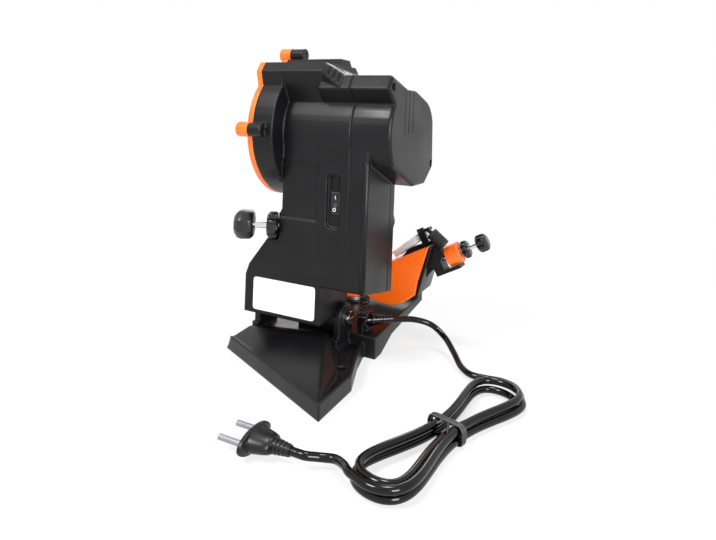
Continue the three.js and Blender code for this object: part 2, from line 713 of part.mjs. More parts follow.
function base() {
  const plate = prism(padOutline, "z", [0, pad.height]);
  const lipTop = [[17.5, -108], [-112.5, -41]];
  const hump = hull([
    [15, -104.5, 9],
    [9, -66, pad.deck],
    [-16, -20, pad.deck],
    [-106, -16, pad.deck],
    [-112, -20, pad.deck],
    [-112.5, -41, 9],
    [lipTop[0][0] - 1, lipTop[0][1], pad.height],
    [lipTop[1][0], lipTop[1][1], pad.height],
    [-27, -24, 25.2],
    [-27, -17, 25.2],
    [-106, -17, 17.8],
    [-108, -24, 17.6],
  ]);
  const ear = (from) =>
    joined(
      bar(hinge.ear, "x", [from, from + hinge.earWidth], [hinge.y, hinge.z], 32),
      block([from, from + hinge.earWidth], [-hinge.ear - 4, hinge.ear + 4], [pad.deck - 2, 20]),
      block([from, from + hinge.earWidth], [-hinge.ear, hinge.ear], [18, hinge.z]),
    );
  const leftEar = hinge.left - slip - hinge.earWidth;
  const rightEar = hinge.right + slip;
  const armSide = [
    [6, 0.5],
    [20, 0.5],
    [46, arm.low],
    [arm.front, arm.frontLow],
    [arm.front, arm.frontTop],
    [arm.front - 11, arm.frontTop],
    [arm.front - 14, arm.top],
    [6, arm.top - 6],
  ];
  let body = joined(
    plate,
    hump,
    prism(armSide, "x", [arm.left, arm.right]),
    ear(leftEar),
    ear(rightEar),
    bar(9.5, "x", [rightEar + hinge.earWidth - fit, rightEar + hinge.earWidth + 2], [hinge.y, hinge.z], 28),
    block(clampBox.x, clampBox.y, clampBox.z),
    bar(swivel.seat, "z", [arm.top - 6, arm.top], [swivel.x, swivel.y], 36),
  );
  const grommetHole = surface(bar(grommet.radius - fit, "x", [-4 - fit, overrun], [0, 0], 20));
  grommetHole.rotateZ(rad(grommet.turn)).translate(grommet.x, grommet.y, grommet.z);
  const grommetFace = surface(bar(grommet.collar + slip, "x", [-fit, grommet.length * 2], [0, 0], 20));
  grommetFace.rotateZ(rad(grommet.turn)).translate(grommet.x, grommet.y, grommet.z);
  const flangePocket = [
    [14, -93],
    [14, -56.6],
    [1.6, -20.6],
    [-4.4, 3.4],
    [-4.4, 6],
    [-16, 6],
    [-16, -19],
    [9, -66],
  ];
  const hollowOutline = inset(padOutline, pad.wall);
  const armInner = [
    [30, -overrun],
    [arm.front - arm.wall, -overrun],
    [arm.front - arm.wall, armRoof(arm.front - arm.wall)],
    [30, armRoof(30)],
  ];
  const under = cut(
    prism(hollowOutline, "z", [-overrun, pad.hollow]),
    bar(16, "z", [-overrun * 2, pad.hollow + overrun], [-originX, 0], 24),
    bar(9, "z", [-overrun * 2, pad.hollow + overrun], [mountingHole.rightX, mountingHole.rightY], 20),
    bar(9, "z", [-overrun * 2, pad.hollow + overrun], [mountingHole.leftX, mountingHole.leftY], 20),
  );
  body = cut(
    body,
    under,
    prism(armInner, "x", [arm.left + arm.wall, arm.right - arm.wall]),
    prism(flangePocket, "z", [pad.deck, pad.height + overrun]),
    bar(mountingHole.radius, "z", [-overrun, pad.height + overrun], [mountingHole.rightX, mountingHole.rightY], 24),
    bar(mountingHole.radius, "z", [-overrun, pad.height + overrun], [mountingHole.leftX, mountingHole.leftY], 24),
    bar(hinge.pin + slip, "x", [hinge.left - 20, hinge.right + 20], [hinge.y, hinge.z], 24),
    bar(hinge.lug + fit * 2, "x", [hinge.left - slip / 2, hinge.right + slip / 2], [hinge.y, hinge.z], 32),
    bar(swivel.bolt + slip, "z", [0, arm.top + overrun], [swivel.x, swivel.y], 20),
    solid(grommetHole),
    solid(grommetFace),
    // the slanted left end of the lip
    hull([
      [-130, -50, -1],
      [-121.5, -42.5, -1],
      [-112.5, -42, 13.5],
      [-130, -50, 13.5],
      [-130, 24, -1],
      [-122.5, 20, -1],
      [-113.5, 20, 13.5],
      [-130, 24, 13.5],
    ]),
  );
  return body;
}

function hingeScrew() {
  const left = hinge.left - slip - hinge.earWidth - 1;
  const right = hinge.right + slip + hinge.earWidth + 2.3;
  const head = [right, right + 3];
  const centre = [hinge.y, hinge.z];
  const body = joined(
    bar(hinge.pin, "x", [left, right + fit], centre, 24),
    bar(6, "x", head, centre, 24),
    bar(6, "x", [left - 4, left], centre, 6),
  );
  return cut(body, block([head[1] - 1.2, head[1] + overrun], [-9, 9], [hinge.z - 0.7, hinge.z + 0.7]));
}

// The return spring's wire: a straight foot, its turns and a straight top
function springWire() {
  const { x, y, low, high, radius, turns, foot, top } = spring;
  const points = [new THREE.Vector3(x, y, foot), new THREE.Vector3(x, y, along([foot, low], 0.55))];
  const steps = turns * 8;
  for (let i = 0; i <= steps; i++) {
    const angle = (i / 8) * Math.PI * 2;
    const z = along([low, high], i / steps);
    points.push(new THREE.Vector3(x + radius * Math.cos(angle), y + radius * Math.sin(angle), z));
  }
  points.push(new THREE.Vector3(x, y, high + radius * 0.9), new THREE.Vector3(x, y, top));
  return swept(points, spring.wire, 5, steps + 14);
}

// One tube along a curve through points
function swept(points, radius, sides, steps) {
  const curve = new THREE.CatmullRomCurve3(points, false, "centripetal");
  const ring = new THREE.Shape(arc([0, 0], radius, 0, 360 - 360 / sides, sides - 1).map(([a, b]) => new THREE.Vector2(a, b)));
  return new THREE.ExtrudeGeometry(ring, { steps, extrudePath: curve, bevelEnabled: false });
}

// The sloping half of the vise is drawn level, u along X, v along Y and w up, and then tilted.
function tilted(body) {
  const geometry = surface(body);
  geometry.rotateY(-rad(vise.tilt)).translate(vise.x, vise.y, vise.z);
  return solid(geometry);
}

function viseBody() {
  const rodCentre = [rod.v, rod.w];
  const swivelCentre = [swivel.x, swivel.y];
  const slope = prism(slopeOutline, "y", [-vise.half, vise.half], vise.round);
  const rodHole = bar(rod.radius + slip, "x", [rod.from - overrun * 2, star.from], rodCentre, 20);
  const skirtCut = block(
    [jaw.left, collar.to],
    [vise.y - vise.half + vise.skirt, jaw.front + vise.half],
    [0, vise.undersideZ],
  );
  const jawSide = [
    [jaw.rear, jaw.low],
    [jaw.front, jaw.low],
    [jaw.front, jaw.high],
    [jaw.rear, jaw.high],
  ];
  const slotFront = rail.y + rail.thick * 2 + rail.opening + rail.travel + slip;
  const screwHole = [clampLever.z, clampLever.x];
  return cut(
    joined(
      cut(tilted(cut(slope, rodHole)), skirtCut),
      prism(jawSide, "x", [jaw.left, jaw.right], jaw.round),
      bar(swivel.foot, "z", [swivel.plateTop + fit, swivel.footTop], swivelCentre, 32),
    ),
    block([jaw.left - overrun, jaw.right + overrun], [rail.y - fit, slotFront], [jaw.slotLow, rail.high]),
    bar(clampLever.screw + slip, "y", [slotFront - overrun, jaw.front + overrun], screwHole, 20),
    bar(swivel.bolt + fit, "z", [swivel.plateTop - overrun, swivel.boltTop + fit], swivelCentre, 20),
  );
}

// The black bracket at the slope's upper end, which carries the adjusting screw's collar
function screwBracket() {
  const span = [-bracket.half, bracket.half];
  const foot = [-bracket.foot, bracket.footTop];
  const saddle = [-bracket.foot, -bracket.foot + bracket.saddle];
  return cut(
    joined(
      prism(bracketOutline, "y", span),
      block([bracket.footFrom, bracket.footTo], span, foot),
      block([bracket.footTo - overrun, bracket.saddleTo], span, saddle),
    ),
    bar(rod.radius + slip, "x", [rod.from, collar.to], [rod.v, rod.w], 20),
  );
}

function screwCollar() {
  const centre = [rod.v, rod.w];
  const span = [collar.from, collar.to];
  return cut(
    tubeBar(collar.radius, rod.radius + slip, "x", span, centre, 32),
    bar(collar.bore, "x", [collar.from - overrun, collar.from + collar.boreDepth], centre, 28),
  );
}

function railPlate(y) {
  const { left, right, low, high, thick } = rail;
  const outline = [
    [low, left],
    [low, right],
    [high - 8, right],
    [high, right - 10],
    [high, left + 10],
    [high - 8, left],
  ];
  return prism(outline, "y", [y, y + thick]);
}

// A knob with a scalloped edge along an axis, with a hole through it or without
function scallopedKnob(radius, way, span, lobes, centre, hole) {
  const points = Array.from({ length: lobes * 4 }, (_, i) => {
    const angle = (i / (lobes * 4)) * Math.PI * 2;
    const r = radius * (i % 4 < 2 ? 1 : 0.84);
    return [centre[0] + r * Math.cos(angle), centre[1] + r * Math.sin(angle)];
  });
  const body = prism(points, way, span, 1);
  return hole ? cut(body, bar(hole, way, [span[0] - overrun, span[1] + overrun], centre, 20)) : body;
}

// The stop's leaf: an eye on its pin and one straight strip, drawn on the slope
function stopLeaf() {
  const span = [leaf.rear, leaf.front];
  const pinPlace = [leafPin.w, leafPin.u];
  const length = Math.hypot(leafPin.u - leaf.tipU, leafPin.w - leaf.tipW);
  const side = [(leafPin.u - leaf.tipU) / length, (leaf.tipW - leafPin.w) / length];
  const shifted = (w, u, share) => [w + side[0] * leaf.thick * share, u + side[1] * leaf.thick * share];
  const strip = [
    shifted(leaf.tipW, leaf.tipU, -0.5),
    shifted(leaf.tipW, leaf.tipU, 0.5),
    shifted(leafPin.w, leafPin.u, 0.5),
    shifted(leafPin.w, leafPin.u, -0.5),
  ];
  return cut(
    joined(prism(strip.reverse(), "y", span), bar(leaf.eye, "y", span, pinPlace, 20)),
    bar(leaf.pin + slip, "y", [leaf.rear - overrun, leaf.front + overrun], pinPlace, 16),
  );
}

function viseSet() {
  const turning = new THREE.Group();
  turning.position.set(swivel.x, swivel.y, arm.top);
  const level = new THREE.Group();
  level.position.set(-swivel.x, -swivel.y, -arm.top);
  const slope = new THREE.Group();
  slope.position.set(vise.x, vise.y, vise.z);
  slope.rotation.y = -rad(vise.tilt);
  turning.add(level);
  level.add(slope);

  const rodCentre = [rod.v, rod.w];
  const screw = joined(
    bar(rod.radius, "x", [rod.from, rod.to], rodCentre, 20),
    scallopedKnob(star.radius, "x", [star.from, star.from + star.length], star.lobes, rodCentre),
  );
  const ringSpan = [lockRing.from, lockRing.from + lockRing.length];
  const ring = scallopedKnob(lockRing.radius, "x", ringSpan, lockRing.lobes, rodCentre, rod.radius + slip);

  // The carrier rides on the slope's top: a wedge, an ear for the leaf's pin and an arm for the nut's stud
  const { toe, rise, heel, high, heelHigh, rear, front, ear } = carrier;
  const pinPlace = [leafPin.w, leafPin.u];
  const seat = viseTop + fit;
  const studWay = rad(thumbNut.turn);
  const stud = surface(bar(thumbNut.stud, "z", [0, thumbNut.from + thumbNut.length - overrun], [0, 0], 16));
  stud.rotateY(studWay).translate(thumbNut.u, thumbNut.v, thumbNut.w);
  const wedge = [
    [seat, toe],
    [seat, heel],
    [heelHigh, heel],
    [high, rise],
  ];
  const earSpan = [rear, rear + ear];
  let yoke = joined(
    prism(wedge.reverse(), "y", [rear, front]),
    block([leafPin.u - leaf.eye, leafPin.u + leaf.eye], earSpan, [heelHigh - 1, leafPin.w + leaf.eye]),
    block([stopArm.from, stopArm.to], [stopArm.rear, earSpan[1]], [stopArm.low, stopArm.high]),
    solid(stud),
  );
  yoke = cut(yoke, bar(leaf.pin + fit, "y", [rear - overrun, earSpan[1] + overrun], pinPlace, 16));
  const pinSpan = [rear - 1, leaf.front + leafPin.reach];
  const pin = joined(
    bar(leaf.pin, "y", pinSpan, pinPlace, 16),
    bar(leafPin.head, "y", [leaf.front + fit, leaf.front + fit + leafPin.headLength], pinPlace, 16),
  );
  const thumb = surface(
    cut(
      turned(
        [
          [0, 0],
          [6, 0],
          [thumbNut.radius, 1.2],
          [thumbNut.radius, thumbNut.length - 1.4],
          [6, thumbNut.length],
          [0, thumbNut.length],
        ],
        "z",
        [0, 0],
        14,
      ),
      bar(thumbNut.stud + fit, "z", [-overrun, thumbNut.length - 2 + fit], [0, 0], 16),
    ),
  );
  thumb.translate(0, 0, thumbNut.from).rotateY(studWay).translate(thumbNut.u, thumbNut.v, thumbNut.w);
  slope.add(
    piece("adjusting_screw", screw, finish.knob),
    piece("adjusting_lock_ring", ring, finish.knob),
    piece("screw_bracket", screwBracket(), finish.dark),
    piece("screw_collar", screwCollar(), finish.orange),
    piece("chain_stop_leaf", stopLeaf(), finish.chrome),
    piece("stop_carrier", yoke, finish.dark),
    piece("leaf_pin", pin, finish.chrome),
    piece("stop_barrel", thumb, finish.knob),
  );

  const hubPlace = [clampLever.z, clampLever.x];
  const screwStart = rail.y + rail.thick * 2 + rail.opening + rail.travel;
  const hubSpan = [jaw.front + fit, jaw.front + fit + 8];
  const lever = joined(
    bar(clampLever.screw, "y", [screwStart + fit, hubSpan[0] + fit], hubPlace, 20),
    bar(clampLever.hub, "y", hubSpan, hubPlace, 28),
    block(
      [clampLever.x - clampLever.reach, clampLever.x],
      [hubSpan[0] + 1.5, hubSpan[1] - 1.5],
      [clampLever.z - 3, clampLever.z + 3],
    ),
    bar(clampLever.grip, "y", hubSpan, [clampLever.z, clampLever.x - clampLever.reach], 20),
  );
  const swivelCentre = [swivel.x, swivel.y];
  const plate = cut(
    bar(swivel.plate, "z", [arm.top + fit, swivel.plateTop], swivelCentre, 36),
    bar(swivel.bolt + fit, "z", [arm.top - overrun, swivel.plateTop + overrun], swivelCentre, 20),
  );
  const knob = cut(
    joined(
      scallopedKnob(swivelKnob.radius, "z", [swivelKnob.low, swivelKnob.high], swivelKnob.lobes, swivelCentre),
      bar(swivelKnob.hub, "z", [swivelKnob.high - 1, armRoof(swivel.y - swivelKnob.hub) - fit], swivelCentre, 24),
    ),
    bar(swivel.bolt + fit, "z", [swivelKnob.low + 4 - fit, arm.top], swivelCentre, 20),
  );
  level.add(
    piece("vise_body", viseBody(), finish.orange),
    piece("fixed_jaw_rail", railPlate(rail.y), finish.steel),
    piece("moving_jaw_rail", railPlate(rail.y + rail.thick + rail.opening), finish.steel),
    piece("clamp_lever", lever, finish.knob),
    piece("swivel_plate", plate, finish.steel),
    piece("swivel_bolt", bar(swivel.bolt, "z", [swivelKnob.low + 4, swivel.boltTop], swivelCentre, 20), finish.steel),
    piece("swivel_lock_knob", knob, finish.knob),
  );
  return turning;
}

// The cord leaves the base through a grommet, lies in a tied hank and ends in the plug.
const leadPoints = [
  [14, 34, 29],
  [30, 51, 27],
  [45, 60, 22],
  [60, 55, 15],
  [74, 39, 9],
  [86, 22, 5],
  [97, 13, 4.4],
  [109, 12.5, 4.4],
  [122, 14, 4.4],
  [134, 9.5, 4.4],
];
const tailPoints = [
  [63, -157, 9],
  [54, -151.5, 7],
  [45, -154, 6.8],
  [37, -159.6, 8.4],
  [31, -160, 8.5],
];

function hankPoint(place) {
  const { half, waist, swell: bulge, sweep, from } = hank;
  const spot = (s) => [half * Math.cos(s), Math.sin(s) * (waist + bulge * Math.cos(s) ** 2)];
  const s = rad(from - place * sweep);
  const step = 1e-3;
  const [a0, b0] = spot(s);
  const [a1, b1] = spot(s + step);
  const length = Math.hypot(a1 - a0, b1 - b0);
  const turns = sweep / 360;
  const inward = Math.min(place, 1 - place) * turns * cord.pitch;
  const a = a0 - ((b1 - b0) / length) * inward;
  const b = b0 + ((a1 - a0) / length) * inward;
  const climb = THREE.MathUtils.smoothstep(place * turns, turns / 2 - 0.25, turns / 2 + 0.25);
  const z = cord.floor + cord.radius + climb * cord.rise;
  const c = Math.cos(rad(hank.turn));
  const n = Math.sin(rad(hank.turn));
  return new THREE.Vector3(hank.x + a * c - b * n, hank.y + a * n + b * c, z);
}

// The least gap between the surfaces of turns that lie side by side
function leastGap(points, radius, apart) {
  let least = Infinity;
  points.forEach((p, i) => points.slice(i + apart).forEach((q) => (least = Math.min(least, p.distanceTo(q)))));
  return least - 2 * radius;
}

// A band round the strands at the hank's waist
function hankTie() {
  const band = cut(
    block([-tie.half, tie.half], [-tie.reach, tie.reach], [tie.low, tie.high]),
    block(
      [-tie.half - overrun, tie.half + overrun],
      [-tie.reach + tie.thick, tie.reach - tie.thick],
      [tie.low + tie.thick, tie.high - tie.thick],
    ),
  );
  const tag = block([-tie.half - 9, -tie.half + fit], [-1, 5], [tie.high - tie.thick, tie.high - tie.thick + 0.8]);
  const geometry = surface(joined(band, tag));
  return geometry.rotateZ(rad(hank.turn)).translate(hank.x, hank.y, 0);
}

function plugShape() {
  const { half, low, rim, waist, taper, relief, end, corner, step } = plugBody;
  const front = plug.x + rim;
  const waistHalf = plug.z - low - step;
  const flange = roundedRect([plug.y - half, plug.y + half], [low, 2 * plug.z - low], corner);
  const shoulder = roundedRect([plug.y - waist, plug.y + waist], [plug.z - waistHalf, plug.z + waistHalf], corner);
  const neck = arc([plug.y, plug.z], relief + step, 0, 348, 20);
  return joined(
    prism(flange, "x", [plug.x, front], step),
    hull([
      ...shoulder.map(([y, z]) => [front - fit, y, z]),
      ...neck.map(([y, z]) => [plug.x + taper, y, z]),
    ]),
    bar(relief, "x", [plug.x + taper - 1, plug.x + end], [plug.y, plug.z], 20),
  );
}

function cordSet() {
  const group = new THREE.Group();
  const vectors = (list) => list.map((p) => new THREE.Vector3(...p));
  const count = Math.round((hank.sweep / 360) * hank.steps);
  const loops = Array.from({ length: count + 1 }, (_, i) => hankPoint(i / count));
  console.log("hank: least gap", leastGap(loops, cord.radius, hank.steps / 2).toFixed(2), "mm");

  // The lead and the tail meet the hank's ends square, a small gap away
  const before = (near, far, gap) => near.clone().add(near.clone().sub(far).normalize().multiplyScalar(gap));
  const start = [before(loops[0], loops[1], 8), before(loops[0], loops[1], fit)];
  const end = [before(loops[count], loops[count - 1], fit), before(loops[count], loops[count - 1], 4)];

  const sleeveEnd = new THREE.Vector3(grommet.length + fit, 0, 0);
  const sleeveNext = new THREE.Vector3(grommet.length + fit * 9, 0, 0);
  const exit = [sleeveEnd, sleeveNext].map((p) =>
    p.applyAxisAngle(new THREE.Vector3(0, 0, 1), rad(grommet.turn)).add(new THREE.Vector3(grommet.x, grommet.y, grommet.z)),
  );
  const boot = surface(
    turned(
      [
        [0, -4],
        [grommet.radius - 0.6, -4],
        [grommet.radius - 0.6, 0],
        [grommet.collar, 0],
        [grommet.collar, 1.6],
        [grommet.radius, 1.6],
        [cord.radius + 1.2, grommet.length],
        [0, grommet.length],
      ],
      "x",
      [0, 0],
      20,
    ),
  );
  boot.rotateZ(rad(grommet.turn)).translate(grommet.x, grommet.y, grommet.z);
  const plugEnd = new THREE.Vector3(plug.x + plugBody.end + fit, plug.y, plug.z);
  group.add(
    piece("cord_grommet", boot, finish.cable),
    piece("cord_lead", swept([...exit, ...vectors(leadPoints), ...start], cord.radius, 8, 30), finish.cable),
    piece("cord_hank", swept(loops, cord.radius, 6, count), finish.cable),
    piece("cord_tail", swept([...end, ...vectors(tailPoints), plugEnd], cord.radius, 8, 12), finish.cable),
    piece("cord_tie", hankTie(), finish.dark),
    piece("plug_body", plugShape(), finish.cable),
  );
  for (const [name, side] of [["left_plug_pin", -1], ["right_plug_pin", 1]]) {
    const y = plug.y + (side * plug.pinSpacing) / 2;
    const span = [plug.x - fit - plug.pinLength, plug.x - fit];
    group.add(piece(name, bar(plug.pinRadius, "x", span, [y, plug.z], 16), finish.chrome));
  }
  return group;
}

// The screws that hold the shells together, deep in their wells
function housingScrew(place) {
  const head = [barrel.end - well.depth + fit, barrel.end - well.depth + 3];
  return joined(
    bar(well.radius - 0.5, "x", head, place, 20),
    bar(well.bore - fit, "x", [head[0] - 28, head[0] + fit], place, 12),
  );
}

const assembly = new THREE.Group();
assembly.position.x = originX;
assembly.add(
  piece("base", base(), finish.moulding),
  piece("hinge_screw", hingeScrew(), finish.chrome),
  piece("return_spring", springWire(), finish.dark),
  piece("housing_left_shell", leftShell(), finish.moulding),
  piece("housing_right_shell", rightShell(), finish.moulding),
  piece("rear_housing_screw", housingScrew(well.places[0]), finish.steel),
  piece("front_housing_screw", housingScrew(well.places[1]), finish.steel),
  piece("guard_cover", guardCover(), finish.orange),
  piece("rear_guard_screw", guardScrew("rear"), finish.steel),
  piece("top_guard_screw", guardScrew("top"), finish.steel),
  motor(),
  wheelSet(),
  switchSet(),
  depthSet(),
  viseSet(),
  cordSet(),
);
const sharpener = new THREE.Group();
sharpener.add(assembly);

export default sharpener;
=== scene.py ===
"""Dresses an electric chainsaw sharpener: its finishes, its cord and the small parts that the frame lacks."""

import json
import logging
import math
from dataclasses import dataclass
from enum import Enum
from typing import ClassVar

import bpy
from mathutils import Matrix, Vector


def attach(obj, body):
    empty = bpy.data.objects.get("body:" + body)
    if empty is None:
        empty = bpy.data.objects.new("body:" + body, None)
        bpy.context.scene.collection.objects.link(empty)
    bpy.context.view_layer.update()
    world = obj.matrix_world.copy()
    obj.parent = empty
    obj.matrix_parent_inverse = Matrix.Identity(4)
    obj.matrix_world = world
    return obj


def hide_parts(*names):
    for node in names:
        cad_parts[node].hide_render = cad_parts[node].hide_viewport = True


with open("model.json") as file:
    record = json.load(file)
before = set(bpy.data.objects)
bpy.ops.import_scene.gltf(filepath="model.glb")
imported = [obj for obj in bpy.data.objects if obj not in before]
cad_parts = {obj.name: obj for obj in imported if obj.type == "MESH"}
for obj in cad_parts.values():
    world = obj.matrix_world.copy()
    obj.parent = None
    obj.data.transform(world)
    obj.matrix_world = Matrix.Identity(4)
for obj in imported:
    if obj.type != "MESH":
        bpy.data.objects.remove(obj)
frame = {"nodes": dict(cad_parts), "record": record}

Pair = tuple[float, float]
Triple = tuple[float, float, float]
Rings = tuple[Pair, ...]

LOG = logging.getLogger("sharpener")
MM = 0.001
MM_PER_METRE = 1000
FULL_TURN = 360
# From the housing's parting plane to the frame's origin, in millimetres
ORIGIN_X = 60.0
IMAGE_WIDTH = 716
# The steps of every rounded edge, and the sides of what cuts a flute
ROUND_STEPS = 3
FLUTE_SIDES = 24
# The sockets of a colour mix, by their places: what is under, what lies over it, and the result
MIX_UNDER, MIX_OVER, MIX_RESULT = 6, 7, 2
WHITE = (1, 1, 1, 1)


def place(x: float, y: float, z: float) -> Vector:
    """A point of the parting plane's frame, in millimetres, as a point of the part's frame in metres."""
    return Vector(((x + ORIGIN_X) * MM, y * MM, z * MM))


def level_way(degrees: float) -> Vector:
    """The level way that stands at an angle from X."""
    return Vector((math.cos(math.radians(degrees)), math.sin(math.radians(degrees)), 0))


def linear(code: int) -> tuple[float, float, float, float]:
    """Turns an sRGB hex value to linear light.

    Args:
        code: the colour as 0xRRGGBB.

    Returns:
        Red, green, blue and an alpha of one.
    """
    parts = [((code >> shift) & 255) / 255 for shift in (16, 8, 0)]
    return tuple(p / 12.92 if p <= 0.04045 else ((p + 0.055) / 1.055) ** 2.4 for p in parts) + (1.0,)


def add_node(
    tree: bpy.types.NodeTree,
    kind: str,
    values: dict | None = None,
    links: dict | None = None,
    **settings: object,
) -> bpy.types.Node:
    """Adds a node with its settings, input values and incoming links.

    Args:
        tree: the node tree.
        kind: the node's type name.
        values: an input's name or index to its value.
        links: an input's name or index to the output that feeds it.
        settings: attributes of the node itself.

    Returns:
        The new node.
    """
    node = tree.nodes.new(kind)
    for name, value in settings.items():
        setattr(node, name, value)
    for name, value in (values or {}).items():
        node.inputs[name].default_value = value
    for name, output in (links or {}).items():
        tree.links.new(output, node.inputs[name])
    return node


@dataclass(frozen=True)
class Surface:
    """One finish, with its grain, slow patches of tone and sheen, and edges that are rounded and rubbed.

    Lengths are in millimetres and colours are sRGB hex values. A grain that is really finer is drawn as
    coarse as it needs to be to show.
    """

    name: str
    colour: int
    worn: int
    roughness: float
    metallic: float = 0.0
    ior: float = 1.46
    coat: float = 0.0
    grain: float = 0.6
    relief: float = 0.02
    relief_strength: float = 0.5
    patch: float = 40.0
    patch_share: float = 0.08
    polish_spread: float = 0.08
    edge: float = 0.5
    edge_share: float = 0.35
    stretch: Triple = (1.0, 1.0, 1.0)

    patch_detail: ClassVar[float] = 3.0
    grain_detail: ClassVar[float] = 4.0
    grain_mix: ClassVar[float] = 0.6
    edge_samples: ClassVar[int] = 8
    least_roughness: ClassVar[float] = 0.02
    # The noise between which the sheen runs from its one end to the other
    sheen_noise: ClassVar[Pair] = (0.3, 0.7)
    # The noise where the worn colour starts to show, and where it shows most
    tone_noise: ClassVar[Pair] = (0.35, 0.7)
    # How far the rounded normal agrees with the flat one where an edge starts to be rubbed, and where it is
    # rubbed most
    edge_facing: ClassVar[Pair] = (0.97, 0.75)

    def material(self) -> bpy.types.Material:
        """Builds the finish once, and hands the same material out after that.

        Returns:
            The material.
        """
        known = bpy.data.materials.get(self.name)
        if known:
            return known
        material = bpy.data.materials.new(self.name)
        material.use_nodes = True
        tree = material.node_tree
        tree.nodes.clear()
        values = {"Metallic": self.metallic, "Coat Weight": self.coat}
        shader = add_node(tree, "ShaderNodeBsdfPrincipled", values)
        if not self.metallic:
            shader.inputs["IOR"].default_value = self.ior
        add_node(tree, "ShaderNodeOutputMaterial", links={"Surface": shader.outputs[0]})
        where = add_node(tree, "ShaderNodeTexCoord").outputs["Object"]
        spread = add_node(tree, "ShaderNodeMapping", {"Scale": self.stretch}, {"Vector": where}).outputs[0]
        patches = add_node(
            tree,
            "ShaderNodeTexNoise",
            {"Scale": MM_PER_METRE / self.patch, "Detail": self.patch_detail},
            {"Vector": where},
        ).outputs[0]
        grain = add_node(
            tree,
            "ShaderNodeTexNoise",
            {"Scale": MM_PER_METRE / self.grain, "Detail": self.grain_detail, "Roughness": self.grain_mix},
            {"Vector": spread},
        ).outputs[0]
        rounded = add_node(
            tree, "ShaderNodeBevel", {"Radius": self.edge * MM}, samples=self.edge_samples
        ).outputs[0]
        bump = add_node(
            tree,
            "ShaderNodeBump",
            {"Strength": self.relief_strength, "Distance": self.relief * MM},
            {"Height": grain, "Normal": rounded},
        ).outputs[0]
        sheen = add_node(
            tree,
            "ShaderNodeMapRange",
            {
                "From Min": self.sheen_noise[0],
                "From Max": self.sheen_noise[1],
                "To Min": max(self.roughness - self.polish_spread, self.least_roughness),
                "To Max": min(self.roughness + self.polish_spread, 1.0),
            },
            {"Value": patches},
        ).outputs[0]
        tree.links.new(bump, shader.inputs["Normal"])
        tree.links.new(self.tone(tree, patches, grain, rounded), shader.inputs["Base Color"])
        tree.links.new(sheen, shader.inputs["Roughness"])
        return material

    def tone(
        self,
        tree: bpy.types.NodeTree,
        patches: bpy.types.NodeSocket,
        grain: bpy.types.NodeSocket,
        rounded: bpy.types.NodeSocket,
    ) -> bpy.types.NodeSocket:
        """Lays the worn colour over the plain one in patches, then along the grain, then along the edges.

        Args:
            tree: the node tree.
            patches: the slow noise.
            grain: the fine noise.
            rounded: the normal with its edges rounded.

        Returns:
            The colour's output.
        """
        flat = add_node(tree, "ShaderNodeNewGeometry").outputs["Normal"]
        facing = add_node(
            tree, "ShaderNodeVectorMath", links={0: rounded, 1: flat}, operation="DOT_PRODUCT"
        ).outputs["Value"]
        under = {}
        for value, (start, full), most in (
            (patches, self.tone_noise, self.patch_share),
            (grain, self.tone_noise, self.patch_share),
            (facing, self.edge_facing, self.edge_share),
        ):
            share = add_node(
                tree,
                "ShaderNodeMapRange",
                {"From Min": start, "From Max": full, "To Min": 0.0, "To Max": most},
                {"Value": value},
            ).outputs[0]
            mix = add_node(
                tree,
                "ShaderNodeMix",
                {MIX_UNDER: linear(self.colour), MIX_OVER: linear(self.worn)},
                {0: share, **under},
                data_type="RGBA",
            )
            under = {MIX_UNDER: mix.outputs[MIX_RESULT]}
        return under[MIX_UNDER]


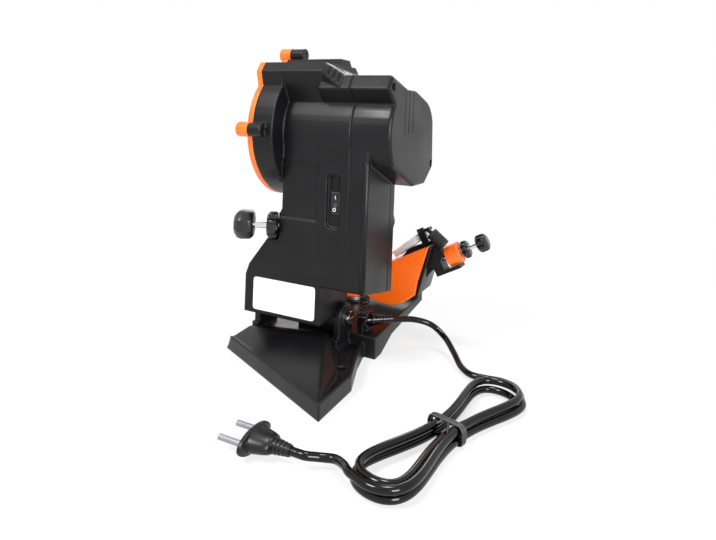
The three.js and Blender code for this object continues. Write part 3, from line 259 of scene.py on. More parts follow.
class Finish(Enum):
    """The finishes of the sharpener, each named for its material and how its surface was made."""

    # Spark-eroded glass-filled nylon: a satin near-black with a fine leathery grain and soft, paler edges
    MOULDING = Surface(
        "spark_eroded_nylon", 0x0B0B0D, 0x3A3B3E, 0.36, ior=1.32, grain=0.9, relief=0.04, patch_share=0.05,
        edge=3.0, edge_share=0.12,
    )
    # ABS from a polished mould: a bright even orange with soft highlights
    ORANGE = Surface(
        "orange_moulded_abs", 0xFF6A10, 0xFF9A48, 0.32, ior=1.52, grain=3.0, relief=0.015, edge=1.6,
        edge_share=0.2,
    )
    # Bright chrome plate over turned steel: nearly a mirror, with a faint unevenness
    CHROME = Surface(
        "chrome_plated_steel", 0xDADCDE, 0xF4F5F6, 0.12, 1.0, grain=0.5, relief=0.003, polish_spread=0.05,
        edge=0.2,
    )
    # Polished zinc plate: a pale, softly blurred metal whose near-white colour is partly its own pale sheen
    # and partly a painted reflection of the white surroundings, so it stays bright beside dark parts
    ZINC = Surface("polished_zinc_plate", 0xF2F3F4, 0xFFFFFF, 0.42, 0.35, grain=0.5, relief=0.004, edge=0.3)
    # Ground steel: a grey metal with fine marks drawn out along the grind
    STEEL = Surface(
        "ground_steel", 0x9A9DA1, 0xD8DADC, 0.34, 1.0, grain=0.5, relief=0.006, edge=0.25,
        stretch=(0.15, 1.0, 1.0),
    )
    # Black oxide on steel: dark and a little oily, paler where it is rubbed
    BLACKED = Surface(
        "black_oxide_steel", 0x0C0C0E, 0x3A3B3E, 0.36, 0.4, grain=0.6, relief=0.01, edge=0.4, edge_share=0.2
    )
    # Drawn copper bars: a warm metal with a soft sheen
    COPPER = Surface("drawn_copper", 0xC0743C, 0xE0A070, 0.3, 1.0, grain=0.4, relief=0.004, edge=0.2)
    # Vitrified corundum: matt brick-pink grit
    ABRASIVE = Surface(
        "vitrified_corundum", 0x9A4F42, 0xD9A090, 0.9, grain=0.7, relief=0.25, relief_strength=0.9,
        patch_share=0.5, edge=0.3,
    )
    # Polished phenolic of the lobed knobs: deep black with sharp highlights
    KNOB = Surface(
        "polished_phenolic", 0x050506, 0x1C1D1F, 0.2, ior=1.5, coat=0.15, grain=4.0, relief=0.01,
        edge_share=0.2,
    )
    # Phenolic left as it came from the mould: dark grey and satin, for the depth knob, the rocker and the nut
    SATIN = Surface("satin_phenolic", 0x0E0E10, 0x333437, 0.36, ior=1.5, grain=0.8, edge=0.7, edge_share=0.2)
    # Bare polyester film of the rating plate: white and half matt
    FILM = Surface(
        "polyester_film", 0xEFEFED, 0xFFFFFF, 0.4, grain=1.2, relief=0.006, patch_share=0.2, edge=0.1
    )
    # Soft extruded PVC of the cord: deep black with narrow, wet-looking highlights
    SHEATH = Surface(
        "extruded_pvc", 0x030304, 0x0E0E0F, 0.14, ior=1.38, grain=2.5, relief=0.01, polish_spread=0.04,
        edge=0.3, edge_share=0.1,
    )
    # Harder moulded PVC of the plug: black with a blurred sheen
    PLUG = Surface("moulded_pvc", 0x08080A, 0x1D1D1F, 0.36, ior=1.42, grain=0.8, edge=0.4, edge_share=0.15)
    # Plastic-coated wire of the hank's tie: a half-matt grey, lighter than the cord
    TIE = Surface("coated_wire_tie", 0x2A2B2D, 0x7D7F82, 0.5, grain=0.5, relief=0.03, edge=0.2)
    # Pad print of the rocker's marks: flat white ink
    PRINT = Surface("white_pad_print", 0xE8E8E6, 0xFFFFFF, 0.5, grain=0.4, relief=0.004, edge=0.05)


SLOT_FINISH = {
    "moulding": Finish.MOULDING,
    "orange": Finish.ORANGE,
    "chrome": Finish.CHROME,
    "steel": Finish.STEEL,
    "dark": Finish.BLACKED,
    "copper": Finish.COPPER,
    "abrasive": Finish.ABRASIVE,
    "knob": Finish.KNOB,
    "paper": Finish.FILM,
    "cable": Finish.SHEATH,
}
# The nodes whose finish isn't the one of their slot
NODE_FINISH = {
    "switch_rocker": Finish.SATIN,
    "switch_body": Finish.SATIN,
    "left_plug_pin": Finish.STEEL,
    "right_plug_pin": Finish.STEEL,
}


def dress(piece: bpy.types.Object, finish: Finish) -> None:
    """Gives a piece one finish in all its slots."""
    piece.data.materials.clear()
    piece.data.materials.append(finish.value.material())


def finished(
    piece: bpy.types.Object, name: str, body: str, finish: Finish, replaced: tuple[str, ...] = ()
) -> bpy.types.Object:
    """Names a piece, gives it its finish and lets it ride on its body.

    Args:
        piece: the modelled object.
        name: its name.
        body: the body that it rides on.
        finish: its finish.
        replaced: the frame's nodes that it stands for.

    Returns:
        The piece.
    """
    piece.name = name
    dress(piece, finish)
    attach(piece, body)
    if replaced:
        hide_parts(*replaced)
    LOG.info("%s rides on %s", name, body)
    return piece


def only(*pieces: bpy.types.Object) -> None:
    """Selects these objects alone.

    Args:
        pieces: the objects, the first of which becomes active.
    """
    bpy.ops.object.select_all(action="DESELECT")
    for piece in pieces:
        piece.select_set(True)
    bpy.context.view_layer.objects.active = pieces[0]


def settle(piece: bpy.types.Object, matrix: Matrix) -> bpy.types.Object:
    """Moves a piece and applies its place to its mesh.

    Args:
        piece: the object.
        matrix: the move, from where the object was drawn.

    Returns:
        The piece.
    """
    only(piece)
    piece.matrix_world = matrix @ piece.matrix_world
    bpy.ops.object.transform_apply(location=True, rotation=True, scale=True)
    return piece


def smooth(piece: bpy.types.Object, angle: float = 35.0) -> bpy.types.Object:
    """Shades a piece smooth.

    Args:
        piece: the object.
        angle: the angle in degrees above which an edge stays sharp.

    Returns:
        The piece.
    """
    only(piece)
    bpy.ops.object.shade_smooth_by_angle(angle=math.radians(angle))
    return piece


def with_modifier(piece: bpy.types.Object, kind: str, **settings: object) -> bpy.types.Object:
    """Adds a modifier and applies it.

    Args:
        piece: the object.
        kind: the modifier's type name.
        settings: the modifier's attributes.

    Returns:
        The piece.
    """
    only(piece)
    modifier = piece.modifiers.new(kind.lower(), kind)
    for name, value in settings.items():
        setattr(modifier, name, value)
    bpy.ops.object.modifier_apply(modifier=modifier.name)
    return piece


def round_edges(piece: bpy.types.Object, width: float, angle: float) -> bpy.types.Object:
    """Rounds the edges of a piece that turn by more than an angle.

    Args:
        piece: the object.
        width: the width of the rounding in millimetres.
        angle: the angle in degrees.

    Returns:
        The piece.
    """
    return with_modifier(
        piece,
        "BEVEL",
        width=width * MM,
        segments=ROUND_STEPS,
        limit_method="ANGLE",
        angle_limit=math.radians(angle),
    )


def turned(profile: Rings, sides: int = 48) -> bpy.types.Object:
    """Draws a turned piece up from a disc by extruding and resizing its rim.

    Args:
        profile: radius and height of each ring in millimetres, from one end to the other.
        sides: the number of sides.

    Returns:
        A closed solid about the Z axis.
    """
    bpy.ops.object.select_all(action="DESELECT")
    radius, height = profile[0]
    bpy.ops.mesh.primitive_circle_add(
        vertices=sides, radius=radius * MM, fill_type="NGON", location=(0, 0, height * MM)
    )
    piece = bpy.context.object
    bpy.ops.object.transform_apply(location=True)
    bpy.ops.object.mode_set(mode="EDIT")
    bpy.ops.mesh.select_all(action="SELECT")
    for (r0, h0), (r1, h1) in zip(profile, profile[1:]):
        bpy.ops.mesh.extrude_region_move(TRANSFORM_OT_translate={"value": (0, 0, (h1 - h0) * MM)})
        bpy.ops.transform.resize(value=(r1 / r0, r1 / r0, 1), center_override=(0, 0, 0))
    bpy.ops.mesh.select_all(action="SELECT")
    bpy.ops.mesh.normals_make_consistent(inside=False)
    bpy.ops.object.mode_set(mode="OBJECT")
    return piece


def bar_block(size: Triple, centre: Triple, bevel: float) -> bpy.types.Object:
    """Draws a block with rounded edges.

    Args:
        size: its size in millimetres.
        centre: its centre in millimetres.
        bevel: the width of its rounding in millimetres.

    Returns:
        The block.
    """
    bpy.ops.object.select_all(action="DESELECT")
    bpy.ops.mesh.primitive_cube_add(size=1, location=[c * MM for c in centre])
    piece = bpy.context.object
    piece.scale = [s * MM for s in size]
    bpy.ops.object.transform_apply(location=True, rotation=True, scale=True)
    bpy.ops.object.mode_set(mode="EDIT")
    bpy.ops.mesh.select_all(action="SELECT")
    bpy.ops.mesh.bevel(offset=bevel * MM, segments=ROUND_STEPS, profile=0.5, affect="EDGES")
    bpy.ops.object.mode_set(mode="OBJECT")
    return piece


def join(*pieces: bpy.types.Object) -> bpy.types.Object:
    """Joins objects to one.

    Args:
        pieces: the objects, the first of which takes the others in.

    Returns:
        The joined object.
    """
    only(*pieces)
    bpy.ops.object.join()
    return bpy.context.object


def fluted(
    piece: bpy.types.Object, count: int, radius: float, reach: float, height: float
) -> bpy.types.Object:
    """Cuts round flutes down the side of a turned piece.

    Args:
        piece: the turned piece about Z.
        count: the number of flutes.
        radius: the flute's radius in millimetres.
        reach: how far its centre stands from the axis.
        height: the length of the cutters, about the middle of the piece.

    Returns:
        The piece.
    """
    middle = sum(c[2] for c in piece.bound_box) / len(piece.bound_box)
    cutters = []
    for i in range(count):
        angle = 2 * math.pi * i / count
        bpy.ops.object.select_all(action="DESELECT")
        bpy.ops.mesh.primitive_cylinder_add(
            vertices=FLUTE_SIDES,
            radius=radius * MM,
            depth=height * MM,
            location=(reach * MM * math.cos(angle), reach * MM * math.sin(angle), middle),
        )
        cutters.append(bpy.context.object)
    cutter = join(*cutters)
    with_modifier(piece, "BOOLEAN", object=cutter, operation="DIFFERENCE", solver="EXACT")
    bpy.data.objects.remove(cutter)
    return piece


def pointing(origin: Vector, way: Vector, turn: float = 0.0) -> Matrix:
    """The matrix that stands a piece drawn about Z at a point, along a way."""
    turned_to = way.to_track_quat("Z", "Y").to_matrix().to_4x4()
    return Matrix.Translation(origin) @ turned_to @ Matrix.Rotation(turn, 4, "Z")


@dataclass
class Camera:
    """The photograph's view: a level camera, turned a little about its own axis, with its place in metres."""

    spot: Triple = (0.2724, -0.4619, 0.2200)
    heading: Pair = (-0.4384, 0.8988)
    focal_pixels: float = 560.0
    sensor: float = 36.0
    shift_y: float = -0.213
    roll: float = 2.12
    nearest: float = 0.01

    def build(self) -> None:
        """Makes the camera and sets it as the scene's."""
        data = bpy.data.cameras.new("view")
        data.sensor_width = self.sensor
        data.lens = self.focal_pixels * self.sensor / IMAGE_WIDTH
        data.shift_y = self.shift_y
        data.clip_start = self.nearest
        camera = bpy.data.objects.new("view", data)
        bpy.context.scene.collection.objects.link(camera)
        ahead = Vector((*self.heading, 0)).normalized()
        level = Vector((ahead.y, -ahead.x, 0))
        up = Vector((0, 0, 1))
        c, s = math.cos(math.radians(self.roll)), math.sin(math.radians(self.roll))
        right = level * c + up * s
        top = up * c - level * s
        matrix = Matrix((right, top, -ahead)).transposed().to_4x4()
        matrix.translation = Vector(self.spot)
        camera.matrix_world = matrix
        bpy.context.scene.camera = camera


@dataclass(frozen=True)
class Lamp:
    """A square soft lamp that looks at the object, its lengths in metres and its power in watts."""

    name: str
    spot: Triple
    size: float
    power: float
    target: Triple = (0.05, 0, 0.14)

    def build(self) -> None:
        """Adds the lamp to the scene."""
        data = bpy.data.lights.new(self.name, "AREA")
        data.size = self.size
        data.energy = self.power
        lamp = bpy.data.objects.new(self.name, data)
        bpy.context.scene.collection.objects.link(lamp)
        lamp.location = self.spot
        lamp.rotation_euler = (Vector(self.spot) - Vector(self.target)).to_track_quat("Z", "Y").to_euler()


@dataclass
class Studio:
    """A white sweep whose shadow fades out round the object, a plain sky and four soft lamps, in metres."""

    floor: float = 14.0
    sink: float = 0.0003
    paper: float = 0.92
    # How far the paper under the object is lifted to pure white, and how strong the sky is as a light
    lift: float = 0.75
    ambient: float = 0.2
    # The distances from the origin between which the shadow fades out
    fade: Pair = (0.25, 0.8)
    lamps: tuple[Lamp, ...] = (
        Lamp("key", (-0.5, -1.1, 1.45), 0.45, 24.0),
        Lamp("fill", (1.2, -0.9, 0.5), 0.6, 24.0),
        Lamp("top", (0.1, 0.1, 1.6), 0.35, 11.0),
        Lamp("rim", (-0.6, 1.2, 0.9), 0.6, 6.0),
    )

    def build(self) -> None:
        """Makes the floor, the sky and the lamps."""
        bpy.context.scene.view_settings.view_transform = "Standard"
        bpy.ops.object.select_all(action="DESELECT")
        bpy.ops.mesh.primitive_plane_add(size=self.floor, location=(0, 0, -self.sink))
        ground = bpy.context.object
        ground.name = "studio_floor"
        ground.data.materials.append(self.sweep())
        self.sky()
        for lamp in self.lamps:
            lamp.build()

    def sweep(self) -> bpy.types.Material:
        """Makes the white paper, which glows the more the further it lies from the object.

        Returns:
            The material.
        """
        material = bpy.data.materials.new("white_paper_sweep")
        material.use_nodes = True
        tree = material.node_tree
        tree.nodes.clear()
        paper = add_node(tree, "ShaderNodeBsdfDiffuse", {"Color": (self.paper, self.paper, self.paper, 1)})
        glow = add_node(tree, "ShaderNodeEmission", {"Color": WHITE, "Strength": 1.0})
        where = add_node(tree, "ShaderNodeTexCoord").outputs["Object"]
        away = add_node(tree, "ShaderNodeVectorMath", links={0: where}, operation="LENGTH").outputs["Value"]
        fade = add_node(
            tree,
            "ShaderNodeMapRange",
            {"From Min": self.fade[0], "From Max": self.fade[1], "To Min": self.lift, "To Max": 1.0},
            {"Value": away},
        ).outputs[0]
        lift = add_node(
            tree, "ShaderNodeMath", links={0: self.seen(tree), 1: fade}, operation="MULTIPLY"
        ).outputs[0]
        links = {0: lift, 1: paper.outputs[0], 2: glow.outputs[0]}
        mixed = add_node(tree, "ShaderNodeMixShader", links=links)
        add_node(tree, "ShaderNodeOutputMaterial", links={"Surface": mixed.outputs[0]})
        return material

    def seen(self, tree: bpy.types.NodeTree) -> bpy.types.NodeSocket:
        """Finds the rays that show the background: the camera's, reflected ones and ones through clear parts.

        Args:
            tree: the node tree.

        Returns:
            An output that is one for these rays and zero for the rest.
        """
        path = add_node(tree, "ShaderNodeLightPath")
        found = path.outputs["Is Camera Ray"]
        for other in ("Is Glossy Ray", "Is Transmission Ray"):
            found = add_node(
                tree, "ShaderNodeMath", links={0: found, 1: path.outputs[other]}, operation="MAXIMUM"
            ).outputs[0]
        return found

    def sky(self) -> None:
        """Makes the world white for the rays that show it, and a weak even light for the rest."""
        world = bpy.data.worlds.new("studio")
        bpy.context.scene.world = world
        world.use_nodes = True
        tree = world.node_tree
        tree.nodes.clear()
        strength = add_node(
            tree, "ShaderNodeMapRange", {"To Min": self.ambient, "To Max": 1.0}, {"Value": self.seen(tree)}
        ).outputs[0]
        sky = add_node(tree, "ShaderNodeBackground", {"Color": WHITE}, {"Strength": strength})
        add_node(tree, "ShaderNodeOutputWorld", links={"Surface": sky.outputs[0]})


@dataclass(frozen=True)
class Sleeve:
    """A tapering sleeve with ribs, which keeps the cord from kinking, in millimetres along its axis."""

    start: float
    end: float
    thick: float
    thin: float
    ribs: int = 6
    # Each ring of a rib as shares of the rib's radius and of its length
    rib_shares: Rings = ((1, 0), (1, 0.55), (0.84, 0.62), (0.84, 0.96))
    end_share: float = 0.9

    def rings(self) -> Rings:
        """Works out the rings from the thick end to the thin one.

        Returns:
            Radius and height of each ring.
        """
        step = (self.end - self.start) / self.ribs
        rings = []
        for i in range(self.ribs):
            radius = self.thick + (self.thin - self.thick) * i / (self.ribs - 1)
            height = self.start + i * step
            rings += [(radius * wide, height + step * high) for wide, high in self.rib_shares]
        return (*rings, (self.thin * self.end_share, self.end))


@dataclass(frozen=True)
class Plug:
    """The moulded plug: a wide flange, a tapering grip and a ribbed relief, in millimetres."""

    spot: Triple = (-3, -160, 8.5)
    flange: Rings = ((7.5, 0), (8.0, 0.5), (8.1, 1.6), (7.9, 2.8), (7.2, 3.3))
    flange_widening: float = 2.15
    grip: Rings = ((7.3, 2.6), (7.1, 5), (6.5, 9), (5.9, 13), (5.2, 16.2), (4.6, 17))
    grip_widening: float = 1.62
    relief: Sleeve = Sleeve(13.0, 29.8, 5.6, 3.9)
    cord_end: float = 30

    def build(self) -> bpy.types.Object:
        """Models the plug about its axis, which lies along X, and widens it between its pins.

        Returns:
            The plug.
        """
        origin = pointing(place(*self.spot), Vector((1, 0, 0)))
        flange = turned(self.flange, sides=56)
        settle(flange, origin @ Matrix.Diagonal((self.flange_widening, 1, 1, 1)))
        grip = turned(self.grip)
        settle(grip, origin @ Matrix.Diagonal((self.grip_widening, 1, 1, 1)))
        relief = turned(self.relief.rings(), sides=40)
        settle(relief, origin)
        piece = smooth(join(flange, grip, relief), angle=40)
        return finished(piece, "moulded_plug", "stand", Finish.PLUG, ("plug_body",))


@dataclass(frozen=True)
class WireTie:
    """The wire tie round the hank's waist, with its twisted ends, in millimetres."""

    band: Triple = (3.4, 28.4, 13.6)
    middle: float = 7.25
    corner: float = 4.5
    corner_steps: int = 6
    sheet: float = 0.8
    twist: Rings = ((0.9, 0), (1.1, 2), (0.8, 4), (1.1, 6), (0.8, 8), (1.0, 10), (0.5, 11))
    twist_spot: Triple = (-1.6, 2.2, 13.2)
    twist_way: Triple = (-0.9, 0.5, -0.28)
    # An edge along X is longer in X than this, in metres, and an end face has this share of its normal in X
    along: float = 1e-4
    end_normal: float = 0.9

    def build(self, matrix: Matrix) -> bpy.types.Object:
        """Models the tie about the hank's middle.

        Args:
            matrix: the place of the hank's middle, its X along the runs of cord.

        Returns:
            The tie.
        """
        ends = []
        band = self.loop()
        x, y, z = self.twist_spot
        for side in (-1, 1):
            end = turned(self.twist, sides=12)
            way = Vector((self.twist_way[0], side * self.twist_way[1], self.twist_way[2]))
            settle(end, pointing(Vector((x * MM, side * y * MM, z * MM)), way))
            ends.append(end)
        piece = smooth(join(band, *ends), angle=40)
        settle(piece, matrix)
        return finished(piece, "hank_wire_tie", "stand", Finish.TIE, ("cord_tie",))

    def loop(self) -> bpy.types.Object:
        """Models the band: a block with rounded edges along X and open ends, whose wall is a sheet.

        Returns:
            The band.
        """
        bpy.ops.object.select_all(action="DESELECT")
        bpy.ops.mesh.primitive_cube_add(size=1, location=(0, 0, self.middle * MM))
        band = bpy.context.object
        band.scale = [s * MM for s in self.band]
        bpy.ops.object.transform_apply(location=True, rotation=True, scale=True)
        for edge in band.data.edges:
            a, b = (band.data.vertices[i].co for i in edge.vertices)
            edge.select = abs(a.x - b.x) > self.along
        for polygon in band.data.polygons:
            polygon.select = False
        bpy.ops.object.mode_set(mode="EDIT")
        bpy.ops.mesh.select_mode(type="EDGE")
        bpy.ops.mesh.bevel(offset=self.corner * MM, segments=self.corner_steps, affect="EDGES")
        bpy.ops.mesh.select_all(action="DESELECT")
        bpy.ops.mesh.select_mode(type="FACE")
        bpy.ops.object.mode_set(mode="OBJECT")
        for polygon in band.data.polygons:
            polygon.select = abs(polygon.normal.x) > self.end_normal
        bpy.ops.object.mode_set(mode="EDIT")
        bpy.ops.mesh.delete(type="FACE")
        bpy.ops.object.mode_set(mode="OBJECT")
        return with_modifier(band, "SOLIDIFY", thickness=self.sheet * MM, offset=1.0)


@dataclass
class CordSet:
    """The cord from the base's grommet through its tied hank to the plug, in millimetres and degrees."""

    radius: float = 2.8
    rounding: int = 5
    gap: float = 0.3
    # The hank's middle, its turn on the bench, half its length, its waist and what it swells by beside it,
    # where the cord comes in, how far it goes round, and the points of a turn
    hank: Pair = (105, -84)
    turn: float = 74
    half: float = 88
    waist: float = 10.8
    swell: float = 38
    start: float = 340
    sweep: float = 890
    steps: int = 32
    # The step from one loop to the next inwards and upwards, the gap under the lowest run, and the part of a
    # turn in which the cord climbs
    pitch: float = 6.1
    rise: float = 6.3
    floor: float = 1.45
    climb: float = 0.5
    grommet: Triple = (-2.2, 20.4, 30)
    grommet_turn: float = 40
    grommet_length: float = 7
    # How far the cord runs straight out of the grommet, after the gap
    straight: float = 2.7
    collar: Rings = ((4.4, -4), (4.4, 0), (6.2, 0.1), (6.4, 0.6), (6.4, 1.3), (6.0, 1.8))
    sleeve: Sleeve = Sleeve(2.0, 22.0, 5.0, 3.7)
    lead: tuple[Triple, ...] = (
        (14, 34, 29), (30, 51, 27), (45, 60, 22), (60, 55, 15), (74, 39, 9), (86, 22, 5), (97, 13, 4.4),
        (109, 12.5, 4.4), (122, 14, 4.4), (134, 9.5, 4.4),
    )
    tail: tuple[Triple, ...] = (
        (63, -157, 9), (54, -151.5, 7), (45, -154, 6.8), (37, -159.6, 8.4), (31, -160, 8.5),
    )
    # How far the cord runs straight into the hank and out of it, and the steps from point to point
    lead_in: float = 8
    lead_out: float = 4
    loose_steps: int = 8
    hank_steps: int = 4
    plug: Plug = Plug()
    tie: WireTie = WireTie()

    def outline(self, angle: float) -> Pair:
        """A point of the hank's closed outline, which has a waist, at an angle in radians."""
        return self.half * math.cos(angle), math.sin(angle) * (self.waist + self.swell * math.cos(angle) ** 2)

    def hank_point(self, share: float) -> Vector:
        """Finds a point of the hank.

        Args:
            share: its share of the way along the hank.

        Returns:
            The point in the parting plane's frame, in millimetres.
        """
        angle, step = math.radians(self.start - share * self.sweep), 1e-3
        a0, b0 = self.outline(angle)
        a1, b1 = self.outline(angle + step)
        length = math.hypot(a1 - a0, b1 - b0)
        turns = self.sweep / FULL_TURN
        inward = min(share, 1 - share) * turns * self.pitch
        a = a0 - (b1 - b0) / length * inward
        b = b0 + (a1 - a0) / length * inward
        rise = min(max((share * turns - turns / 2 + self.climb / 2) / self.climb, 0), 1)
        z = self.floor + self.radius + rise * rise * (3 - 2 * rise) * self.rise
        c, n = math.cos(math.radians(self.turn)), math.sin(math.radians(self.turn))
        return Vector((self.hank[0] + a * c - b * n, self.hank[1] + a * n + b * c, z))

    def through(self, points: list[Vector], steps: int) -> list[Vector]:
        """Rounds a run of points with a centripetal spline through them.

        Args:
            points: the points in order.
            steps: how many steps each stretch gets.

        Returns:
            The points of the rounded run.
        """
        ends = [points[0] * 2 - points[1], *points, points[-1] * 2 - points[-2]]
        run = []
        for p0, p1, p2, p3 in zip(ends, ends[1:], ends[2:], ends[3:]):
            t1 = (p1 - p0).length ** 0.5
            t2 = t1 + (p2 - p1).length ** 0.5
            t3 = t2 + (p3 - p2).length ** 0.5
            for i in range(steps):
                t = t1 + (t2 - t1) * i / steps
                a1 = p0 * ((t1 - t) / t1) + p1 * (t / t1)
                a2 = p1 * ((t2 - t) / (t2 - t1)) + p2 * ((t - t1) / (t2 - t1))
                a3 = p2 * ((t3 - t) / (t3 - t2)) + p3 * ((t - t2) / (t3 - t2))
                b1 = a1 * ((t2 - t) / t2) + a2 * (t / t2)
                b2 = a2 * ((t3 - t) / (t3 - t1)) + a3 * ((t - t1) / (t3 - t1))
                run.append(b1 * ((t2 - t) / (t2 - t1)) + b2 * ((t - t1) / (t2 - t1)))
        return run + [points[-1]]

    def route(self) -> list[Vector]:
        """Works out the whole way of the cord.

        Returns:
            Its points in the part's frame, in metres.
        """
        count = round(self.sweep / FULL_TURN * self.steps)
        loops = [self.hank_point(i / count) for i in range(count + 1)]
        way = level_way(self.grommet_turn)
        origin = Vector(self.grommet)
        into = (loops[0] - loops[1]).normalized()
        onward = (loops[-1] - loops[-2]).normalized()
        first = [origin + way * (self.grommet_length + out) for out in (self.gap, self.straight)]
        lead = [*first, *(Vector(p) for p in self.lead), loops[0] + into * self.lead_in, loops[0]]
        plug = Vector(self.plug.spot) + Vector((self.plug.cord_end, 0, 0))
        tail = [loops[-1], loops[-1] + onward * self.lead_out, *(Vector(p) for p in self.tail), plug]
        run = self.through(lead, self.loose_steps)[:-1] + self.through(loops, self.hank_steps)[:-1]
        return [place(*p) for p in run + self.through(tail, self.loose_steps)]

    def build(self) -> None:
        """Makes the cord, its plug, its tie and its strain relief."""
        route = self.route()
        cord = self.tube(route)
        finished(cord, "mains_cord", "stand", Finish.SHEATH, ("cord_lead", "cord_hank", "cord_tail"))
        plug = self.plug.build()
        turn = Matrix.Rotation(math.radians(self.turn), 4, "Z")
        tie = self.tie.build(Matrix.Translation(place(*self.hank, 0)) @ turn)
        relief = smooth(turned(self.collar + self.sleeve.rings(), sides=40))
        settle(relief, pointing(place(*self.grommet), level_way(self.grommet_turn)))
        finished(relief, "cord_strain_relief", "stand", Finish.SHEATH, ("cord_grommet",))

    def tube(self, route: list[Vector]) -> bpy.types.Object:
        """Draws the cord as a round tube.

        Args:
            route: its points in metres.

        Returns:
            The curve object.
        """
        data = bpy.data.curves.new("cord", "CURVE")
        data.dimensions = "3D"
        data.bevel_depth = self.radius * MM
        data.bevel_resolution = self.rounding
        data.use_fill_caps = True
        spline = data.splines.new("POLY")
        spline.points.add(len(route) - 1)
        for point, spot in zip(spline.points, route):
            point.co = (*spot, 1)
        spline.use_smooth = True
        cord = bpy.data.objects.new("cord", data)
        bpy.context.scene.collection.objects.link(cord)
        return cord


@dataclass(frozen=True)
class LobedKnob:
    """A knob with a domed face and round hollows between its lobes, in millimetres."""

    radius: float
    length: float
    lobes: int
    crown_share: float
    # Each ring as shares of the radius and of the length, up to the crown
    ring_shares: Rings = ((0.5, 0), (0.86, 0.06), (1, 0.22), (1, 0.74), (0.92, 0.88))
    # The hollows' radius and the reach of their centres as shares of the radius, and their cutters' length as
    # a share of the length
    hollow_share: float = 0.34
    reach_share: float = 1.16
    cutter_share: float = 1.4
    round_share: float = 0.045

    def build(self) -> bpy.types.Object:
        """Models the knob about Z, from zero to its length.

        Returns:
            The knob.
        """
        shares = (*self.ring_shares, (self.crown_share, 1))
        piece = turned(tuple((self.radius * wide, self.length * high) for wide, high in shares), sides=60)
        hollow, reach = self.radius * self.hollow_share, self.radius * self.reach_share
        fluted(piece, self.lobes, hollow, reach, self.length * self.cutter_share)
        round_edges(piece, self.radius * self.round_share, angle=38)
        return smooth(piece, angle=50)


@dataclass
class DepthScrew:
    """The depth stop's eight-sided knob, bright shank and lobed lock nut, in millimetres along the screw."""

    spot: Triple = (-67.5, -33.5, 120)
    turn: float = 28
    knob: Rings = ((6, 0), (11.2, 0.6), (13.4, 3.4), (13.6, 11.5), (12.4, 15), (8.4, 18))
    knob_sides: int = 8
    knob_round: float = 0.9
    # How far behind the screw's spot the knob stands, and the nut below
    knob_foot: float = 26
    shank: Rings = ((2.4, -27), (3, -26.4), (3, 21.4), (2.2, 22))
    nut: LobedKnob = LobedKnob(12, 10.2, 8, 0.8)
    nut_foot: float = 4.3

    def build(self) -> None:
        """Makes the knob, the shank and the nut."""
        way = level_way(self.turn)
        spot = place(*self.spot)
        knob = round_edges(turned(self.knob, self.knob_sides), self.knob_round, angle=12)
        half_side = math.radians(FULL_TURN / self.knob_sides / 2)
        settle(smooth(knob, angle=30), pointing(spot - way * self.knob_foot * MM, -way, half_side))
        finished(knob, "depth_knob", "depth_stop", Finish.SATIN, ("depth_screw",))
        shank = turned(self.shank, sides=32)
        settle(smooth(shank), pointing(spot, way))
        finished(shank, "depth_screw_shank", "depth_stop", Finish.CHROME)
        nut = self.nut.build()
        settle(nut, pointing(spot - way * self.nut_foot * MM, -way))
        finished(nut, "depth_lock_nut", "depth_ring", Finish.KNOB, ("depth_lock_ring",))


@dataclass(frozen=True)
class Slope:
    """The vise's slope, which rises towards the right from its foot, in millimetres and degrees."""

    foot: Triple = (-2, 90, 48)
    turn: float = 28

    def point(self, u: float, v: float, w: float) -> Vector:
        """Finds a point of the slope.

        Args:
            u: how far it lies up the slope.
            v: how far it lies across it.
            w: how far it stands off it.

        Returns:
            The point in the part's frame, in metres.
        """
        c, s = math.cos(math.radians(self.turn)), math.sin(math.radians(self.turn))
        x, y, z = self.foot
        return place(x + u * c - w * s, y + v, z + u * s + w * c)

    def way(self) -> Vector:
        """The way up the slope."""
        return Vector((math.cos(math.radians(self.turn)), 0, math.sin(math.radians(self.turn))))

    def frame_at(self, u: float, w: float, turn: float) -> Matrix:
        """The frame at a point of the slope's middle, X along a way turned from its rise, Y across."""
        total = math.radians(self.turn + turn)
        return Matrix.Translation(self.point(u, 0, w)) @ Matrix.Rotation(-total, 4, "Y")


@dataclass
class FeedScrew:
    """The screw that moves the chain stop, with its star knob and lock knob, in millimetres up the slope."""

    slope: Slope
    off: float = 6.2
    star: LobedKnob = LobedKnob(8.7, 11, 6, 0.7)
    star_foot: float = 96
    rod: Rings = ((1.8, 30), (2.5, 30.6), (2.5, 97))
    lock: LobedKnob = LobedKnob(8.8, 6.5, 6, 0.8)
    lock_foot: float = 80

    def build(self) -> None:
        """Makes the star knob, the rod and the lock knob."""
        up = self.slope.way()
        star = self.star.build()
        settle(star, pointing(self.slope.point(self.star_foot, 0, self.off), up))
        finished(star, "feed_knob", "adjuster", Finish.KNOB, ("adjusting_screw",))
        rod = turned(self.rod, sides=28)
        settle(smooth(rod), pointing(self.slope.point(0, 0, self.off), up))
        finished(rod, "feed_screw_rod", "adjuster", Finish.CHROME)
        lock = self.lock.build()
        settle(lock, pointing(self.slope.point(self.lock_foot, 0, self.off), up))
        finished(lock, "feed_lock_knob", "adjuster_ring", Finish.KNOB, ("adjusting_lock_ring",))


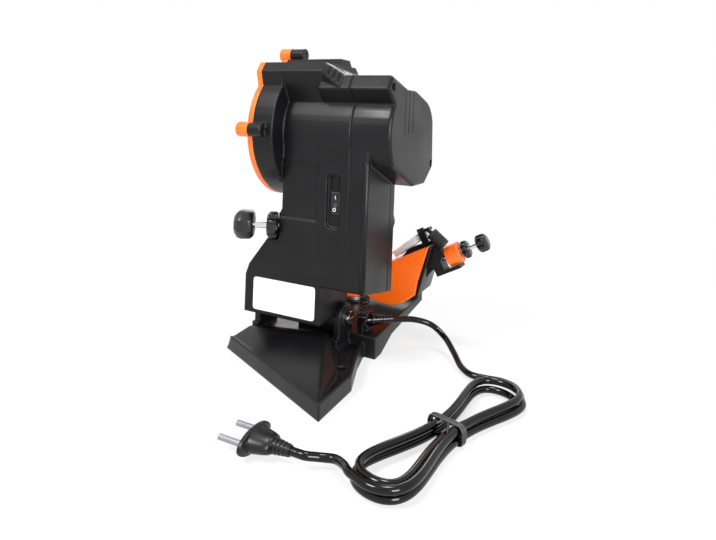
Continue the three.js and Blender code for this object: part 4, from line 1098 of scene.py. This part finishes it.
@dataclass
class ChainStop:
    """The bright leaf that meets the chain, its ribbed nut and the bracket's cheek, in millimetres."""

    slope: Slope
    # The leaf is a bent sheet from its pin to its tip, with a flange along either side and an eye at the pin
    pin: Pair = (49, 38.9)
    tip: Pair = (5, 30)
    width: Pair = (-4, 12.4)
    sheet: float = 1.4
    sheet_round: float = 0.4
    strip_cut: float = 3
    flange: float = 6.4
    flange_cut: float = 6
    flange_back: float = 1
    eye: Pair = (3.4, 3.6)
    # The nut is a barrel with flutes on a plain stud
    nut: Triple = (57.5, -10, 40)
    nut_turn: float = 155.4
    nut_ends: Pair = (6.4, 24.7)
    nut_radius: float = 6.2
    nut_shares: tuple[float, ...] = (0.6, 0.92, 1, 1, 0.92, 0.5)
    nut_insets: Triple = (0, 0.2, 1)
    flutes: int = 16
    flute_radius: float = 0.75
    flute_out: float = 0.25
    flute_share: float = 0.78
    stud_radius: float = 2.2
    stud_sunk: float = 1
    # The cheek is a plate along the bracket's front edge, from one end to the other
    cheek: tuple[Pair, Pair] = ((21.5, -15), (56, 23))
    cheek_width: float = 40.6
    cheek_sheet: float = 3
    cheek_sunk: float = 1.2
    cheek_round: float = 0.9

    def build(self) -> None:
        """Makes the leaf, the nut and the cheek."""
        self.build_leaf()
        self.build_nut()
        (u0, w0), (u1, w1) = self.cheek
        length = math.hypot(u1 - u0, w1 - w0)
        size = (length, self.cheek_width, self.cheek_sheet)
        cheek = bar_block(size, (length / 2, 0, -self.cheek_sunk), self.cheek_round)
        lean = math.degrees(math.atan2(w1 - w0, u1 - u0))
        settle(smooth(cheek), self.slope.frame_at(u0, w0, lean))
        finished(cheek, "bracket_cheek", "vise", Finish.BLACKED)

    def build_leaf(self) -> None:
        """Makes the leaf from its strip, its two flanges and its eye."""
        rise = (self.tip[0] - self.pin[0], self.tip[1] - self.pin[1])
        length = math.hypot(*rise)
        low, high = self.width
        size = (length - self.strip_cut, high - low, self.sheet)
        pieces = [bar_block(size, ((length + self.strip_cut) / 2, (low + high) / 2, 0), self.sheet_round)]
        for v in (low + self.sheet / 2, high - self.sheet / 2):
            size = (length - self.flange_cut, self.sheet, self.flange)
            centre = (length / 2 - self.flange_back, v, self.flange / 2)
            pieces.append(bar_block(size, centre, self.sheet_round))
        inner, outer = self.eye
        eye = turned(
            ((inner, low), (outer, low + self.sheet_round), (outer, high - self.sheet_round), (inner, high))
        )
        settle(eye, Matrix.Rotation(math.radians(-90), 4, "X"))
        leaf = smooth(join(*pieces, eye))
        settle(leaf, self.slope.frame_at(*self.pin, math.degrees(math.atan2(rise[1], rise[0]))))
        finished(leaf, "bright_stop_leaf", "stop_leaf", Finish.ZINC, ("chain_stop_leaf",))

    def build_nut(self) -> None:
        """Makes the nut's barrel with its flutes, and its stud."""
        low, high = self.nut_ends
        heights = [low + inset for inset in self.nut_insets]
        heights += [high - inset for inset in reversed(self.nut_insets)]
        barrel = turned(tuple((self.nut_radius * share, h) for share, h in zip(self.nut_shares, heights)))
        reach = self.nut_radius + self.flute_out
        fluted(barrel, self.flutes, self.flute_radius, reach, (high - low) * self.flute_share)
        stud = turned(((self.stud_radius, 0), (self.stud_radius, low + self.stud_sunk)), sides=24)
        nut = smooth(join(barrel, stud), angle=30)
        lean = math.radians(self.nut_turn - self.slope.turn)
        settle(nut, pointing(self.slope.point(*self.nut), Vector((math.sin(lean), 0, math.cos(lean)))))
        finished(nut, "ribbed_nut", "stop_nut", Finish.SATIN, ("stop_barrel",))


@dataclass
class HeadTrim:
    """The ribs over the switch, the bead on the column's corner and the rocker's marks, in millimetres."""

    ribs: int = 5
    rib: Triple = (9.4, 1.0, 0.9)
    rib_spot: Triple = (-14.7, -35.6, 158.4)
    rib_step: float = 2.3
    rib_round: float = 0.25
    bead: Rings = ((2.4, 73), (3, 74), (3, 182), (2.4, 183))
    bead_spot: Pair = (15.2, -37.2)
    mark_x: float = -13.3
    ring_z: float = 140.2
    ring_radius: float = 1.35
    ring_line: float = 0.24
    bar_z: float = 150.6
    bar: Triple = (0.6, 2.8, 0.3)
    bar_round: float = 0.08
    # Where the lines start that find the marks' places on the rocker
    outside_y: float = -60

    def build(self) -> None:
        """Makes the ribs, the bead and the marks."""
        x, y, z = self.rib_spot
        spots = [(x + ORIGIN_X, y, z + i * self.rib_step) for i in range(self.ribs)]
        ribs = [bar_block(self.rib, spot, self.rib_round) for spot in spots]
        finished(smooth(join(*ribs)), "recess_ribs", "head", Finish.MOULDING)
        bead = turned(self.bead, sides=32)
        settle(smooth(bead), Matrix.Translation(place(*self.bead_spot, 0)))
        finished(bead, "corner_bead", "head", Finish.MOULDING)
        self.build_marks()

    def build_marks(self) -> None:
        """Makes a ring for off and a bar for on, each where a level line from outside meets the rocker."""
        bpy.ops.object.select_all(action="DESELECT")
        bpy.ops.mesh.primitive_torus_add(
            major_radius=self.ring_radius * MM,
            minor_radius=self.ring_line * MM,
            major_segments=32,
            minor_segments=8,
        )
        ring = bpy.context.object
        bar = bar_block(self.bar, (0, 0, 0), self.bar_round)
        rocker = frame["nodes"]["switch_rocker"]
        for mark, height in ((ring, self.ring_z), (bar, self.bar_z)):
            outside = place(self.mark_x, self.outside_y, height)
            _, spot, normal, _ = rocker.ray_cast(outside, Vector((0, 1, 0)))
            settle(mark, pointing(spot, normal))
        finished(smooth(join(ring, bar)), "rocker_marks", "rocker", Finish.PRINT)


def dress_nodes() -> None:
    """Gives each node of the frame its own finish, or else the one of its slot in the record."""
    for part in frame["record"]["subparts"]:
        node = frame["nodes"].get(part["node"])
        if node is not None:
            dress(node, NODE_FINISH.get(part["node"], SLOT_FINISH[part["material_slot"]]))


def main() -> None:
    """Builds the scene in order: the camera and the cord first, then the finishes and the small parts."""
    logging.basicConfig(level=logging.INFO, format="%(message)s")
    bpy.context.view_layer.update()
    Camera().build()
    CordSet().build()
    dress_nodes()
    slope = Slope()
    DepthScrew().build()
    FeedScrew(slope).build()
    ChainStop(slope).build()
    HeadTrim().build()
    Studio().build()


if __name__ == "__main__":
    main()
